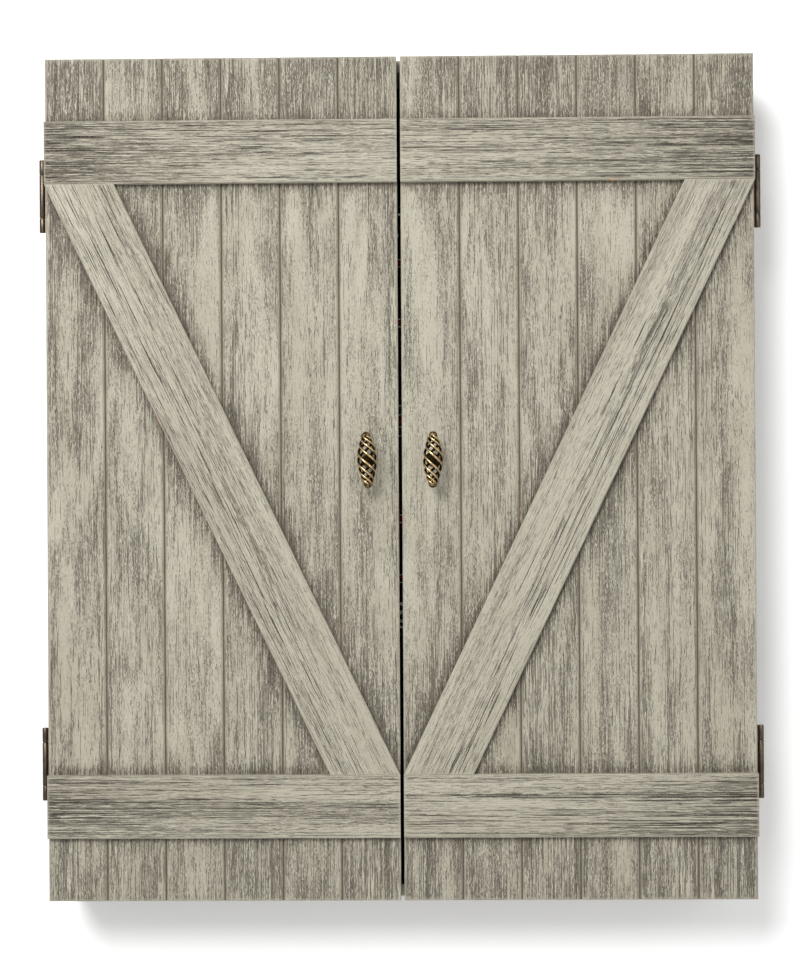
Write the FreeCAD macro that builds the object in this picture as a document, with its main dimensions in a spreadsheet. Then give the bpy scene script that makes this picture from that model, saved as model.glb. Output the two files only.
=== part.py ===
"""Wall-hung dart board cabinet with two plank doors, as a parametric document.

Frame: millimetres, +Z up, the front of the cabinet faces -Y and +X is to the right.
The origin is the middle of the four wall screw holes, on the wall plane.
"""
import FreeCAD, Part
import math
import os
import re
import Sketcher

V = FreeCAD.Vector
doc = FreeCAD.newDocument("dart_board_cabinet")
sheet = doc.addObject("Spreadsheet::Sheet", "Sizes")

SIZES = {
    # box
    "box_width": 728.0,
    "box_height": 867.0,
    "box_depth": 100.0,
    "side_thick": 18.0,
    "board_thick": 12.0,
    "back_thick": 4.0,
    "liner_thick": 3.0,
    "hang_rail_thick": 12.0,
    "hang_rail_height": 60.0,
    "stud_spacing": 406.4,
    "wall_hole_radius": 3.0,
    # doors
    "door_gap": 3.7,
    "door_clear": 2.0,
    "plank_thick": 18.0,
    "plank_chamfer": 2.2,
    "edge_ease": 0.8,
    "tongue_thick": 6.0,
    "tongue_length": 5.0,
    "tongue_clear": 0.4,
    "rail_width": 64.5,
    "rail_thick": 8.0,
    "rail_setback": 65.5,
    # hinges
    "hinge_height": 295.0,
    "hinge_length": 75.4,
    "hinge_offset": 6.9,
    "knuckle_radius": 3.1,
    "knuckle_clear": 0.3,
    "pin_radius": 1.5,
    "pin_clear": 0.05,
    "leaf_thick": 1.6,
    "frame_leaf_reach": 22.5,
    "door_leaf_reach": 36.0,
    "leaf_clear": 0.6,
    # handles
    "handle_inset": 31.5,
    "handle_raise": 18.5,
    "handle_length": 57.4,
    "handle_radius": 10.3,
    "handle_standoff": 26.0,
    "left_cage_lean": -2.0,
    "right_cage_lean": 0.8,
    "left_cage_turn": 0.45,
    "right_cage_turn": 0.68,
    "cage_wire": 2.8,
    "cage_slope": 0.9,
    "cage_neck": 2.6,
    "cap_radius": 4.4,
    "post_radius": 3.6,
    "rose_radius": 7.0,
    "rose_thick": 2.0,
    # screws
    "screw_radius": 1.75,
    "screw_head": 3.2,
    "head_thick": 1.4,
    "hinge_screw": 13.0,
    "panel_screw": 12.0,
    "bracket_screw": 9.0,
    "rail_screw_cover": 3.0,
    "carcass_screw": 38.0,
    "handle_screw": 24.0,
    # inside of the doors
    "score_margin": 43.075,
    "score_height": 440.0,
    "score_thick": 4.0,
    "score_raise": 112.0,
    "score_screw_inset": 10.0,
    "rack_width": 168.0,
    "rack_drop": 262.0,
    "rack_depth": 30.0,
    "rack_shelf": 10.0,
    "rack_back": 4.0,
    "rack_height": 40.0,
    "rack_hole": 4.5,
    "rack_pitch": 26.0,
    # catches
    "catch_inset": 46.0,
    "catch_width": 52.0,
    "catch_body": 30.0,
    "catch_height": 13.0,
    "catch_depth": 15.0,
    "catch_wing": 4.0,
    "magnet_width": 22.0,
    "magnet_height": 7.0,
    "magnet_depth": 10.0,
    "strike_thick": 1.2,
    "catch_clear": 0.3,
    # dart board
    "board_raise": 60.5,
    "board_radius": 225.5,
    "board_back": 12.0,
    "board_sisal": 26.0,
    "board_standoff": 15.0,
    "band_thick": 1.0,
    "blade": 1.0,
    "blade_depth": 1.2,
    "ring_radius": 217.0,
    "ring_wire": 1.6,
    "ring_clear": 0.4,
    "foot_radius": 7.0,
    "foot_circle": 150.0,
    "foot_clear": 0.3,
    "hanger_radius": 2.5,
    "hanger_head": 6.0,
    "hanger_head_thick": 3.0,
    "hanger_clear": 0.3,
    "bracket_width": 56.0,
    "bracket_height": 66.0,
    "bracket_depth": 10.0,
    "bracket_thick": 2.0,
    "slot_clear": 0.5,
    "slot_rest": 0.1,
    "slot_depth": 18.0,
}
PLANKS = 6
DART_HOLES = 6
STRANDS = 5
CAGE_STEPS = 320
CAGE_SKIP = 20
CAGE_FULLNESS = 0.9
SCORING_RINGS = [6.35, 15.9, 99.0, 107.0, 162.0, 170.0]
SECTORS = 20
RING_CLIPS = 6
FIRST_CLIP = 27.0
FOOT_TURNS = (90.0, 210.0, 330.0)

# Where small things sit, as shares of the length that carries them.
MIDDLE_KNUCKLE = 0.6
FRAME_LEAF_SCREWS = 0.38
DOOR_LEAF_SCREWS = 0.76
BRACKET_SCREWS = 0.8
RACK_SCREWS = 0.8
STRIKE_SCREWS = 0.72

for row, (alias, size) in enumerate(SIZES.items(), 1):
    sheet.set(f"A{row}", alias)
    sheet.set(f"B{row}", str(size))
    sheet.setAlias(f"B{row}", alias)
doc.recompute()

ALIASES = re.compile(r"\b(" + "|".join(SIZES) + r")\b")
NODES = []

# Places that several pieces share, as expressions of the sheet's cells.
HALF_WIDTH = "box_width / 2"
HALF_HEIGHT = "box_height / 2"
INNER_HEIGHT = "(box_height / 2 - board_thick)"
INNER_WIDTH = "(box_width - 2 * side_thick)"
LINER_FRONT = "(hang_rail_thick + back_thick + liner_thick)"
DOOR_WIDTH = "((box_width - door_gap) / 2)"
DOOR_BACK = "(box_depth + door_clear)"
DOOR_FRONT = "(box_depth + door_clear + plank_thick)"
DOOR_MIDDLE = "(door_gap / 2 + (box_width - door_gap) / 4)"
PLANK_WIDTH = f"({DOOR_WIDTH} / {PLANKS})"
RAIL_MIDDLE = "(box_height / 2 - rail_setback - rail_width / 2)"
BRACE_SPAN = "(box_height - 2 * rail_setback - 2 * rail_width)"
BRACE_DIAGONAL = f"sqrt({DOOR_WIDTH} ^ 2 + {BRACE_SPAN} ^ 2)"
BRACE_LEAN = f"(acos(rail_width / {BRACE_DIAGONAL}) - atan({BRACE_SPAN} / {DOOR_WIDTH}))"
BRACE_ACROSS = f"(rail_width / cos({BRACE_LEAN}))"
SCORE_WIDTH = f"({DOOR_WIDTH} - 2 * score_margin)"
RAIL_SCREW = "(plank_thick + rail_thick - rail_screw_cover)"
HINGE_X = "(box_width / 2 + hinge_offset)"
HINGE_Y = "(box_depth + door_clear / 2)"
BOARD_BACK_Y = f"({LINER_FRONT} + board_standoff)"
BOARD_FRONT_Y = f"({BOARD_BACK_Y} + board_back + board_sisal)"
BRACKET_FRONT = f"({LINER_FRONT} + bracket_depth)"
SLOT_RADIUS = "(hanger_radius + slot_clear)"
SLOT_CENTRE = "(board_raise + slot_clear - slot_rest)"
HANDLE_X = "(door_gap / 2 + handle_inset)"
CATCH_Z = f"({INNER_HEIGHT} - catch_height / 2)"


def cells(text):
    """Expression text with every size written as a cell of the sheet."""
    return ALIASES.sub(r"Sizes.\1", str(text))


def value(text):
    """Present value of an expression, as a plain number."""
    result = sheet.evalExpression(cells(text))
    return float(getattr(result, "Value", result))


def bind(obj, prop, text):
    obj.setExpression(prop, cells(text))


def place(obj, x="0", y="0", z="0", rotation=None):
    """Turn an object, then bind its position to the sheet."""
    if rotation:
        obj.Placement = FreeCAD.Placement(V(), rotation)
    for axis, text in zip("xyz", (x, y, z)):
        bind(obj, f"Placement.Base.{axis}", text)
    return obj


def node(obj, label):
    """Keep an object as a sub-part that is written out under its label."""
    obj.Label = label
    NODES.append(obj)
    return obj


def spare(kind, name="Blank"):
    return doc.addObject(kind, name)


def box(size, corner, name="Block"):
    """A block with its lowest corner at the given place."""
    block = spare("Part::Box", name)
    for prop, text in zip(("Length", "Width", "Height"), size):
        bind(block, prop, text)
    return place(block, *corner)


def low(side, near, far):
    """Lowest X of a span that starts near the middle, on the left or the right side."""
    return f"({near})" if side > 0 else f"-({far})"


def cylinder(radius, length, at, rotation=None, name="Round"):
    rod = spare("Part::Cylinder", name)
    bind(rod, "Radius", radius)
    bind(rod, "Height", length)
    return place(rod, *at, rotation)


def combine(kind, base, tool, name="Joined"):
    result = spare(kind, name)
    result.Base = base
    result.Tool = tool
    return result


def cut(base, tool, name="Cut"):
    return combine("Part::Cut", base, tool, name)


def fuse(pieces, name="Fused"):
    result = spare("Part::MultiFuse", name)
    result.Shapes = pieces
    return result


def group(pieces, name="Group"):
    result = spare("Part::Compound", name)
    result.Links = pieces
    return result


ABOUT = {
    "-Y": FreeCAD.Rotation(V(1, 0, 0), 90),
    "+Y": FreeCAD.Rotation(V(1, 0, 0), -90),
    "+X": FreeCAD.Rotation(V(0, 1, 0), 90),
    "-X": FreeCAD.Rotation(V(0, 1, 0), -90),
    "+Z": FreeCAD.Rotation(),
}


def screw(length, at, towards, name="Screw"):
    """Countersunk screw: its flat head lies at the given place and it drives the given way."""
    head = spare("Part::Cone", "Head")
    bind(head, "Radius1", "screw_head")
    bind(head, "Radius2", "screw_radius")
    bind(head, "Height", "head_thick")
    shank = cylinder("screw_radius", length, ("0", "0", "0"), name="Shank")
    return place(fuse([head, shank], name), *at, ABOUT[towards])


def outline(body, role, points, name="Outline"):
    """Closed straight-sided sketch on one of the body's own origin planes."""
    sketch = body.newObject("Sketcher::SketchObject", name)
    plane = [item for item in body.Origin.OriginFeatures if item.Role == role][0]
    sketch.AttachmentSupport = [(plane, "")]
    sketch.MapMode = "FlatFace"
    corners = [V(value(x), value(y), 0) for x, y in points]
    for index, corner in enumerate(corners):
        sketch.addGeometry(Part.LineSegment(corner, corners[(index + 1) % len(corners)]))
    for index in range(len(corners)):
        following = (index + 1) % len(corners)
        sketch.addConstraint(Sketcher.Constraint("Coincident", index, 2, following, 1))
    for index, pair in enumerate(points):
        for kind, text in zip(("DistanceX", "DistanceY"), pair):
            start = Sketcher.Constraint(kind, -1, 1, index, 1, value(text))
            bind(sketch, f"Constraints[{sketch.addConstraint(start)}]", text)
    return sketch


def pad(body, sketch, length, symmetric=False, name="Pad"):
    feature = body.newObject("PartDesign::Pad", name)
    feature.Profile = sketch
    bind(feature, "Length", length)
    if symmetric:
        feature.SideType = "Symmetric"
    return feature


def ease_front(body, feature):
    """Small chamfer round the front face of a padded board."""
    doc.recompute()
    faces = feature.Shape.Faces
    front = min(range(len(faces)), key=lambda index: faces[index].CenterOfMass.y)
    chamfer = body.newObject("PartDesign::Chamfer", "Eased")
    chamfer.Base = (feature, [f"Face{front + 1}"])
    bind(chamfer, "Size", "edge_ease")
    return chamfer


# ---------------------------------------------------------------- box


def make_wall_holes():
    """Four through holes for the wall screws, one pair in each hanging rail."""
    holes = []
    for side in (-1, 1):
        for level in (-1, 1):
            at = (
                f"{side} * stud_spacing / 2",
                f"-{LINER_FRONT} - 1",
                f"{level} * ({INNER_HEIGHT} - hang_rail_height / 2)",
            )
            holes.append(cylinder("wall_hole_radius", f"{LINER_FRONT} + 2", at, ABOUT["+Y"]))
    return group(holes, "WallHoles")


def make_carcass_screws():
    """Screws through the sides into the ends of the top and bottom boards."""
    screws = []
    for side, towards in ((-1, "+X"), (1, "-X")):
        for level in (-1, 1):
            for depth in ("box_depth / 4", "box_depth * 3 / 4"):
                at = (
                    f"{side} * {HALF_WIDTH}",
                    f"-({depth})",
                    f"{level} * ({HALF_HEIGHT} - board_thick / 2)",
                )
                screws.append(screw("carcass_screw", at, towards))
    return group(screws, "CarcassScrews")


def make_box(wall_holes, carcass_screws, fittings):
    for side, name in ((-1, "left_side"), (1, "right_side")):
        x = low(side, "box_width / 2 - side_thick", HALF_WIDTH)
        panel = box(("side_thick", "box_depth", "box_height"), (x, "-box_depth", f"-{HALF_HEIGHT}"))
        node(cut(cut(panel, carcass_screws), fittings), name)
    for level, name in ((-1, "bottom_board"), (1, "top_board")):
        z = low(level, INNER_HEIGHT, HALF_HEIGHT)
        at = (f"-{INNER_WIDTH} / 2", "-box_depth", z)
        panel = box((INNER_WIDTH, "box_depth", "board_thick"), at)
        node(cut(cut(panel, carcass_screws), fittings), name)
        z = low(level, f"{INNER_HEIGHT} - hang_rail_height", INNER_HEIGHT)
        at = (f"-{INNER_WIDTH} / 2", "-hang_rail_thick", z)
        rail = box((INNER_WIDTH, "hang_rail_thick", "hang_rail_height"), at)
        node(cut(rail, wall_holes), name.replace("board", "hanging_rail"))
    layers = (("back_panel", "hang_rail_thick", "back_thick"),
              ("felt_liner", "(hang_rail_thick + back_thick)", "liner_thick"))
    for name, behind, thick in layers:
        at = (f"-{INNER_WIDTH} / 2", f"-({behind} + {thick})", f"-{INNER_HEIGHT}")
        sheet_panel = box((INNER_WIDTH, thick, f"2 * {INNER_HEIGHT}"), at)
        node(cut(cut(sheet_panel, wall_holes), fittings), name)


# ---------------------------------------------------------------- board bracket and catches


def make_bracket(fittings):
    """Pressed steel channel whose open slot takes the board's hanging screw."""
    corner = ("-bracket_width / 2", f"-{BRACKET_FRONT}", "board_raise - bracket_height / 2")
    channel = box(("bracket_width", "bracket_depth", "bracket_height"), corner)
    hollow = box(
        ("bracket_width - 2 * bracket_thick", "bracket_depth - 2 * bracket_thick", "bracket_height * 2"),
        ("bracket_thick - bracket_width / 2", f"bracket_thick - {BRACKET_FRONT}",
         "board_raise - bracket_height"),
    )
    slot_floor = cylinder(SLOT_RADIUS, "bracket_depth / 2",
                          ("0", f"-{LINER_FRONT} - bracket_depth / 2", SLOT_CENTRE), ABOUT["-Y"])
    slot = box((f"2 * {SLOT_RADIUS}", "bracket_depth / 2", "bracket_height"),
               (f"-{SLOT_RADIUS}", f"-{LINER_FRONT} - bracket_depth", SLOT_CENTRE))
    window_height = "(bracket_height / 2 - slot_depth)"
    window = box(("bracket_width * 2", "bracket_depth", window_height),
                 ("-bracket_width", f"-{LINER_FRONT} - bracket_depth - bracket_thick",
                  "board_raise + slot_depth"))
    channel = cut(channel, hollow)
    channel = cut(channel, fuse([slot_floor, slot, window]))
    node(cut(channel, fittings), "board_bracket")


def make_bracket_screws():
    screws = []
    for side in (-1, 1):
        for level in (-1, 1):
            at = (
                f"{side} * bracket_width / 3",
                f"-{LINER_FRONT} - bracket_thick",
                f"board_raise + {level} * bracket_height * {BRACKET_SCREWS / 2}",
            )
            screws.append(screw("bracket_screw", at, "+Y"))
    return screws


def make_catch_screws():
    screws = []
    for side in (-1, 1):
        for end in (-1, 1):
            at = (
                f"{side} * catch_inset + {end} * (catch_width + catch_body) / 4",
                "catch_depth / 2 - box_depth",
                f"{INNER_HEIGHT} - catch_wing",
            )
            screws.append(screw("panel_screw", at, "+Z"))
    return screws


def make_catches(fittings):
    """Magnetic catches under the top board: a housing with wings and a magnet in its mouth."""
    housings = []
    magnets = []
    for side in (-1, 1):
        wing = box(("catch_width", "catch_depth", "catch_wing"),
                   (f"{side} * catch_inset - catch_width / 2", "-box_depth",
                    f"{INNER_HEIGHT} - catch_wing"))
        nose = box(("catch_body", "catch_depth", "catch_height"),
                   (f"{side} * catch_inset - catch_body / 2", "-box_depth",
                    f"{INNER_HEIGHT} - catch_height"))
        front = f"({DOOR_BACK} - strike_thick - catch_clear)"
        magnet = box(("magnet_width", "magnet_depth", "magnet_height"),
                     (f"{side} * catch_inset - magnet_width / 2", f"-{front}",
                      f"{CATCH_Z} - magnet_height / 2"))
        housings.append(cut(cut(fuse([wing, nose]), magnet), fittings))
        magnets.append(magnet)
    node(group(housings), "catch_housings")
    node(group(magnets), "catch_magnets")


# ---------------------------------------------------------------- hinges


def knuckle(side, level, bottom, top, bore):
    """Rolled tube of a hinge leaf between two heights above the hinge's middle."""
    at = (f"{side} * {HINGE_X}", f"-{HINGE_Y}", f"{level} * hinge_height + ({bottom})")
    outer = cylinder("knuckle_radius", f"({top}) - ({bottom})", at)
    inner = cylinder(bore, f"({top}) - ({bottom})", at)
    return outer, inner


def leaf_plate(side, level, start, reach, bottom, top, y):
    """Flat plate between two distances from the hinge axis, towards the middle."""
    x = low(side, f"{HINGE_X} - ({reach})", f"{HINGE_X} - ({start})")
    corner = (x, y, f"{level} * hinge_height + ({bottom})")
    return box((f"({reach}) - ({start})", "leaf_thick", f"({top}) - ({bottom})"), corner)


MIDDLE_TOP = f"(hinge_length * {MIDDLE_KNUCKLE / 2} - knuckle_clear / 2)"
END_BOTTOM = f"(hinge_length * {MIDDLE_KNUCKLE / 2} + knuckle_clear / 2)"
END_TOP = "hinge_length / 2"


def make_frame_leaf(side, level, label, screws):
    """Inner leaf: one long middle knuckle and a plate on the front edge of the box."""
    outer, inner = knuckle(side, level, f"-{MIDDLE_TOP}", MIDDLE_TOP, "pin_radius")
    plate = leaf_plate(side, level, "0", "frame_leaf_reach", f"-{MIDDLE_TOP}", MIDDLE_TOP,
                       "-box_depth - leaf_thick")
    leaf = cut(fuse([outer, plate]), inner)
    node(cut(leaf, screws), label)


def make_door_leaf(side, level, label, screws):
    """Outer leaf: two short end knuckles and a plate that frames the inner leaf."""
    bore = "pin_radius + pin_clear"
    solids = []
    bores = []
    window = f"({MIDDLE_TOP} + knuckle_clear)"
    back = f"-{DOOR_BACK}"
    for bottom, top in ((f"-{END_TOP}", f"-{END_BOTTOM}"), (END_BOTTOM, END_TOP)):
        outer, inner = knuckle(side, level, bottom, top, bore)
        arm = leaf_plate(side, level, "0", "door_leaf_reach", bottom, top, back)
        solids += [outer, arm]
        bores.append(inner)
    web = leaf_plate(side, level, "frame_leaf_reach + leaf_clear", "door_leaf_reach",
                     f"-{window}", window, back)
    leaf = cut(fuse(solids + [web]), group(bores))
    node(cut(leaf, screws), label)


def make_hinge_screws(side):
    """Frame leaf screws and door leaf screws of the two hinges on one side."""
    into_box = []
    into_door = []
    for level in (-1, 1):
        for end in (-1, 1):
            at = (f"{side} * ({HALF_WIDTH} - side_thick / 2)", "-box_depth - leaf_thick",
                  f"{level} * hinge_height + {end} * hinge_length * {FRAME_LEAF_SCREWS / 2}")
            into_box.append(screw("hinge_screw", at, "+Y"))
        for end in (-1, 0, 1):
            at = (f"{side} * ({HINGE_X} - (frame_leaf_reach + leaf_clear + door_leaf_reach) / 2)",
                  f"leaf_thick - {DOOR_BACK}",
                  f"{level} * hinge_height + {end} * hinge_length * {DOOR_LEAF_SCREWS / 2}")
            into_door.append(screw("hinge_screw", at, "-Y"))
    return into_box, into_door


def make_pins():
    pins = []
    for side in (-1, 1):
        for level in (-1, 1):
            at = (f"{side} * {HINGE_X}", f"-{HINGE_Y}", f"{level} * hinge_height - hinge_length / 2")
            pins.append(cylinder("pin_radius", "hinge_length", at))
    node(group(pins), "hinge_pins")


# ---------------------------------------------------------------- doors


def plank_profile(tongued, grooved):
    """Section of one plank, seen from above: tongue on its right, groove on its left."""
    near = "(plank_thick - tongue_thick) / 2"
    far = "(plank_thick + tongue_thick) / 2"
    right_ease = "plank_chamfer" if tongued else "edge_ease"
    left_ease = "plank_chamfer" if grooved else "edge_ease"
    points = [("0", "0"), (PLANK_WIDTH, "0")]
    if tongued:
        tip = f"{PLANK_WIDTH} + tongue_length"
        points += [(PLANK_WIDTH, f"-{near}"), (tip, f"-{near}"), (tip, f"-{far}"), (PLANK_WIDTH, f"-{far}")]
    points += [(PLANK_WIDTH, f"{right_ease} - plank_thick")]
    points += [(f"{PLANK_WIDTH} - {right_ease}", "-plank_thick")]
    points += [(left_ease, "-plank_thick"), ("0", f"{left_ease} - plank_thick")]
    if grooved:
        root = "tongue_length + tongue_clear"
        points += [("0", f"-{far}"), (root, f"-{far}"), (root, f"-{near}"), ("0", f"-{near}")]
    return points


def make_planks(side, name, screws):
    """Tongued and grooved planks, numbered from the door's left edge to its right."""
    left_edge = low(side, "door_gap / 2", HALF_WIDTH)
    for number in range(1, PLANKS + 1):
        body = spare("PartDesign::Body", "Plank")
        profile = plank_profile(number < PLANKS, number > 1)
        sketch = outline(body, "XY_Plane", profile)
        pad(body, sketch, "box_height", symmetric=True)
        place(body, f"{left_edge} + {number - 1} * {PLANK_WIDTH}", f"-{DOOR_BACK}")
        node(cut(body, screws), f"{name}_plank_{number}")


def make_rails(side, name, screws):
    left_edge = low(side, "door_gap / 2", HALF_WIDTH)
    for level, word in ((1, "top_rail"), (-1, "bottom_rail")):
        body = spare("PartDesign::Body", "Rail")
        half = "rail_width / 2"
        corners = [("0", f"-{half}"), (DOOR_WIDTH, f"-{half}"), (DOOR_WIDTH, half), ("0", half)]
        feature = pad(body, outline(body, "XZ_Plane", corners), "rail_thick")
        ease_front(body, feature)
        place(body, left_edge, f"-{DOOR_FRONT}", f"{level} * {RAIL_MIDDLE}")
        node(cut(body, screws), f"{name}_{word}")


def make_brace(side, name, screws):
    """Diagonal board as wide as the rails, from the hinge side at the top to the free side."""
    half = f"{BRACE_SPAN} / 2"
    outer = f"{side} * {HALF_WIDTH}"
    inner = f"{side} * door_gap / 2"
    corners = [
        (outer, half),
        (f"{outer} - {side} * {BRACE_ACROSS}", half),
        (inner, f"-{half}"),
        (f"{inner} + {side} * {BRACE_ACROSS}", f"-{half}"),
    ]
    body = spare("PartDesign::Body", "Brace")
    feature = pad(body, outline(body, "XZ_Plane", corners), "rail_thick")
    ease_front(body, feature)
    place(body, "0", f"-{DOOR_FRONT}", "0")
    node(cut(body, screws), f"{name}_brace")


def plank_middle(side, number):
    """X of the middle of a plank, counted from the hinge side."""
    return f"{side} * ({HALF_WIDTH} - {number - 0.5} * {PLANK_WIDTH})"


def make_rail_screws(side):
    """From inside: one screw per plank into each rail, and one per inner plank into the brace."""
    screws = []
    back = f"-{DOOR_BACK}"
    for number in range(1, PLANKS + 1):
        for level in (-1, 1):
            at = (plank_middle(side, number), back, f"{level} * {RAIL_MIDDLE}")
            screws.append(screw(RAIL_SCREW, at, "-Y"))
    for number in range(2, PLANKS):
        along = f"({DOOR_WIDTH} * {(number - 0.5) / PLANKS} - {BRACE_ACROSS} / 2)"
        height = f"{BRACE_SPAN} / 2 - {BRACE_SPAN} * {along} / ({DOOR_WIDTH} - {BRACE_ACROSS})"
        screws.append(screw(RAIL_SCREW, (plank_middle(side, number), back, height), "-Y"))
    return screws


def make_scoreboard(side, name, screws):
    x = low(side, f"{DOOR_MIDDLE} - {SCORE_WIDTH} / 2", f"{DOOR_MIDDLE} + {SCORE_WIDTH} / 2")
    panel = box((SCORE_WIDTH, "score_thick", "score_height"),
                (x, f"-{DOOR_BACK}", "score_raise - score_height / 2"))
    node(cut(panel, screws), f"{name}_scoreboard")


def make_scoreboard_screws(side):
    screws = []
    for end in (-1, 1):
        for level in (-1, 1):
            at = (f"{side} * {DOOR_MIDDLE} + {end} * ({SCORE_WIDTH} / 2 - score_screw_inset)",
                  f"score_thick - {DOOR_BACK}",
                  f"score_raise + {level} * (score_height / 2 - score_screw_inset)")
            screws.append(screw("panel_screw", at, "-Y"))
    return screws


def make_dart_rack(side, name, screws):
    """Angle with a row of holes that the darts stand in."""
    x = low(side, f"{DOOR_MIDDLE} - rack_width / 2", f"{DOOR_MIDDLE} + rack_width / 2")
    flange = box(("rack_width", "rack_back", "rack_height"), (x, f"-{DOOR_BACK}", "-rack_drop"))
    shelf = box(("rack_width", "rack_back + rack_depth", "rack_shelf"), (x, f"-{DOOR_BACK}", "-rack_drop"))
    holes = []
    for number in range(DART_HOLES):
        at = (f"{side} * {DOOR_MIDDLE} + {number - (DART_HOLES - 1) / 2} * rack_pitch",
              f"rack_back + rack_depth / 2 - {DOOR_BACK}", "-rack_drop - rack_shelf")
        holes.append(cylinder("rack_hole", "rack_shelf * 3", at))
    rack = cut(fuse([flange, shelf]), group(holes))
    node(cut(rack, screws), f"{name}_dart_rack")


def make_rack_screws(side):
    screws = []
    for end in (-1, 1):
        at = (f"{side} * {DOOR_MIDDLE} + {end} * rack_width * {RACK_SCREWS / 2}", f"rack_back - {DOOR_BACK}",
              "(rack_height + rack_shelf) / 2 - rack_drop")
        screws.append(screw("panel_screw", at, "-Y"))
    return screws


def make_strike(side, name, screws):
    plate = box(("catch_body", "strike_thick", "catch_height"),
                (f"{side} * catch_inset - catch_body / 2", f"-{DOOR_BACK}", f"{CATCH_Z} - catch_height / 2"))
    node(cut(plate, screws), f"{name}_strike_plate")


def make_strike_screws(side):
    screws = []
    for end in (-1, 1):
        across = f"{side} * catch_inset + {end} * catch_body * {STRIKE_SCREWS / 2}"
        screws.append(screw("panel_screw", (across, f"strike_thick - {DOOR_BACK}", CATCH_Z), "-Y"))
    return screws


# ---------------------------------------------------------------- handles


def bulge(share):
    """Fullness of the cage from its ends, at 0, to its middle, at 1."""
    return abs(math.cos(math.pi / 2 * share)) ** CAGE_FULLNESS


def strand_points(turned, half):
    """Points along the middle line of one cage wire, upright and centred on the origin.

    The wire climbs at a constant slope round a spindle, so it turns faster where it is slim.
    """
    widest = value("handle_radius - cage_wire / 2")
    slimmest = value("cage_neck")
    slope = value("cage_slope")
    heights = [half * (2.0 * index / CAGE_STEPS - 1.0) for index in range(CAGE_STEPS + 1)]
    middle = CAGE_STEPS // 2
    radii = [slimmest + (widest - slimmest) * bulge(z / half) for z in heights]
    angles = [0.0]
    for index in range(1, len(heights)):
        angles.append(angles[-1] - (heights[index] - heights[index - 1]) / (slope * radii[index]))
    points = []
    for index in range(0, CAGE_STEPS + 1, CAGE_SKIP):
        around = angles[index] - angles[middle] + turned
        points.append(V(radii[index] * math.cos(around), radii[index] * math.sin(around), heights[index]))
    return points


def make_cage(turn):
    """Twisted wires between two domed caps, as one brazed piece."""
    wire = value("cage_wire")
    reach = value("handle_length / 2 - cap_radius")
    wide = value("4 * handle_radius")
    trim = Part.makeBox(wide, wide, 2 * reach, V(-wide / 2, -wide / 2, -reach))
    solids = []
    for number in range(STRANDS):
        points = strand_points(turn + 2.0 * math.pi * number / STRANDS, reach + wire * 0.7)
        curve = Part.BSplineCurve()
        curve.interpolate(points)
        spine = Part.Wire([curve.toShape()])
        circle = Part.makeCircle(wire / 2, points[0], curve.tangent(curve.FirstParameter)[0])
        solids.append(spine.makePipeShell([Part.Wire([circle])], True, True).common(trim))
    for end in (-1, 1):
        solids.append(Part.makeSphere(value("cap_radius"), V(0, 0, end * reach), V(0, 0, end), 0, 90))
    return solids[0].multiFuse(solids[1:])


def make_handle(side, name, bolt):
    cage = doc.addObject("Part::Feature", "Cage")
    cage.Shape = make_cage(-math.pi / 2 - value(f"{name}_cage_turn"))
    lean = FreeCAD.Rotation(V(0, 1, 0), value(f"{name}_cage_lean"))
    place(cage, f"{side} * {HANDLE_X}", f"-{DOOR_FRONT} - handle_standoff", "handle_raise", lean)
    node(cage, f"{name}_handle_cage")
    at = (f"{side} * {HANDLE_X}", f"-{DOOR_FRONT}", "handle_raise")
    stem = cylinder("post_radius", "handle_standoff - handle_radius + cage_wire", at, ABOUT["-Y"])
    rose = cylinder("rose_radius", "rose_thick", at, ABOUT["-Y"])
    post = cut(fuse([stem, rose]), cage)
    node(cut(post, bolt), f"{name}_handle_post")


# ---------------------------------------------------------------- dart board


def disc(radius, thick, back, name="Disc"):
    return cylinder(radius, thick, ("0", f"-({back})", "board_raise"), ABOUT["-Y"], name)


def make_board():
    inner = "board_radius - band_thick"
    total = "(board_back + board_sisal)"
    screw_hole = disc("hanger_radius", "board_back", BOARD_BACK_Y)
    node(cut(disc(inner, "board_back", BOARD_BACK_Y), screw_hole), "board_backing")
    node(disc(inner, "board_sisal", f"{BOARD_BACK_Y} + board_back"), "board_face")
    rim = cut(disc("board_radius", total, BOARD_BACK_Y), disc(inner, total, BOARD_BACK_Y))
    node(rim, "board_band")


def make_spider():
    """Flat blades on edge: scoring circles crossed by twenty radial blades."""
    solids = []
    for radius in SCORING_RINGS:
        outer = disc(f"{radius} + blade / 2", "blade_depth", BOARD_FRONT_Y)
        solids.append(cut(outer, disc(f"{radius} - blade / 2", "blade_depth", BOARD_FRONT_Y)))
    start = SCORING_RINGS[1]
    length = SCORING_RINGS[-1] - start
    for number in range(SECTORS):
        turn = 360.0 * (number + 0.5) / SECTORS
        blade = spare("Part::Box", "Blade")
        bind(blade, "Length", length)
        bind(blade, "Width", "blade_depth")
        bind(blade, "Height", "blade")
        angle = math.radians(turn)
        blade.Placement = FreeCAD.Placement(V(), FreeCAD.Rotation(V(0, 1, 0), -turn))
        place(blade, f"{start * math.cos(angle)} + blade / 2 * {math.sin(angle)}",
              f"-{BOARD_FRONT_Y} - blade_depth",
              f"board_raise + {start * math.sin(angle)} - blade / 2 * {math.cos(angle)}")
        solids.append(blade)
    node(fuse(solids), "board_spider")


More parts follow.
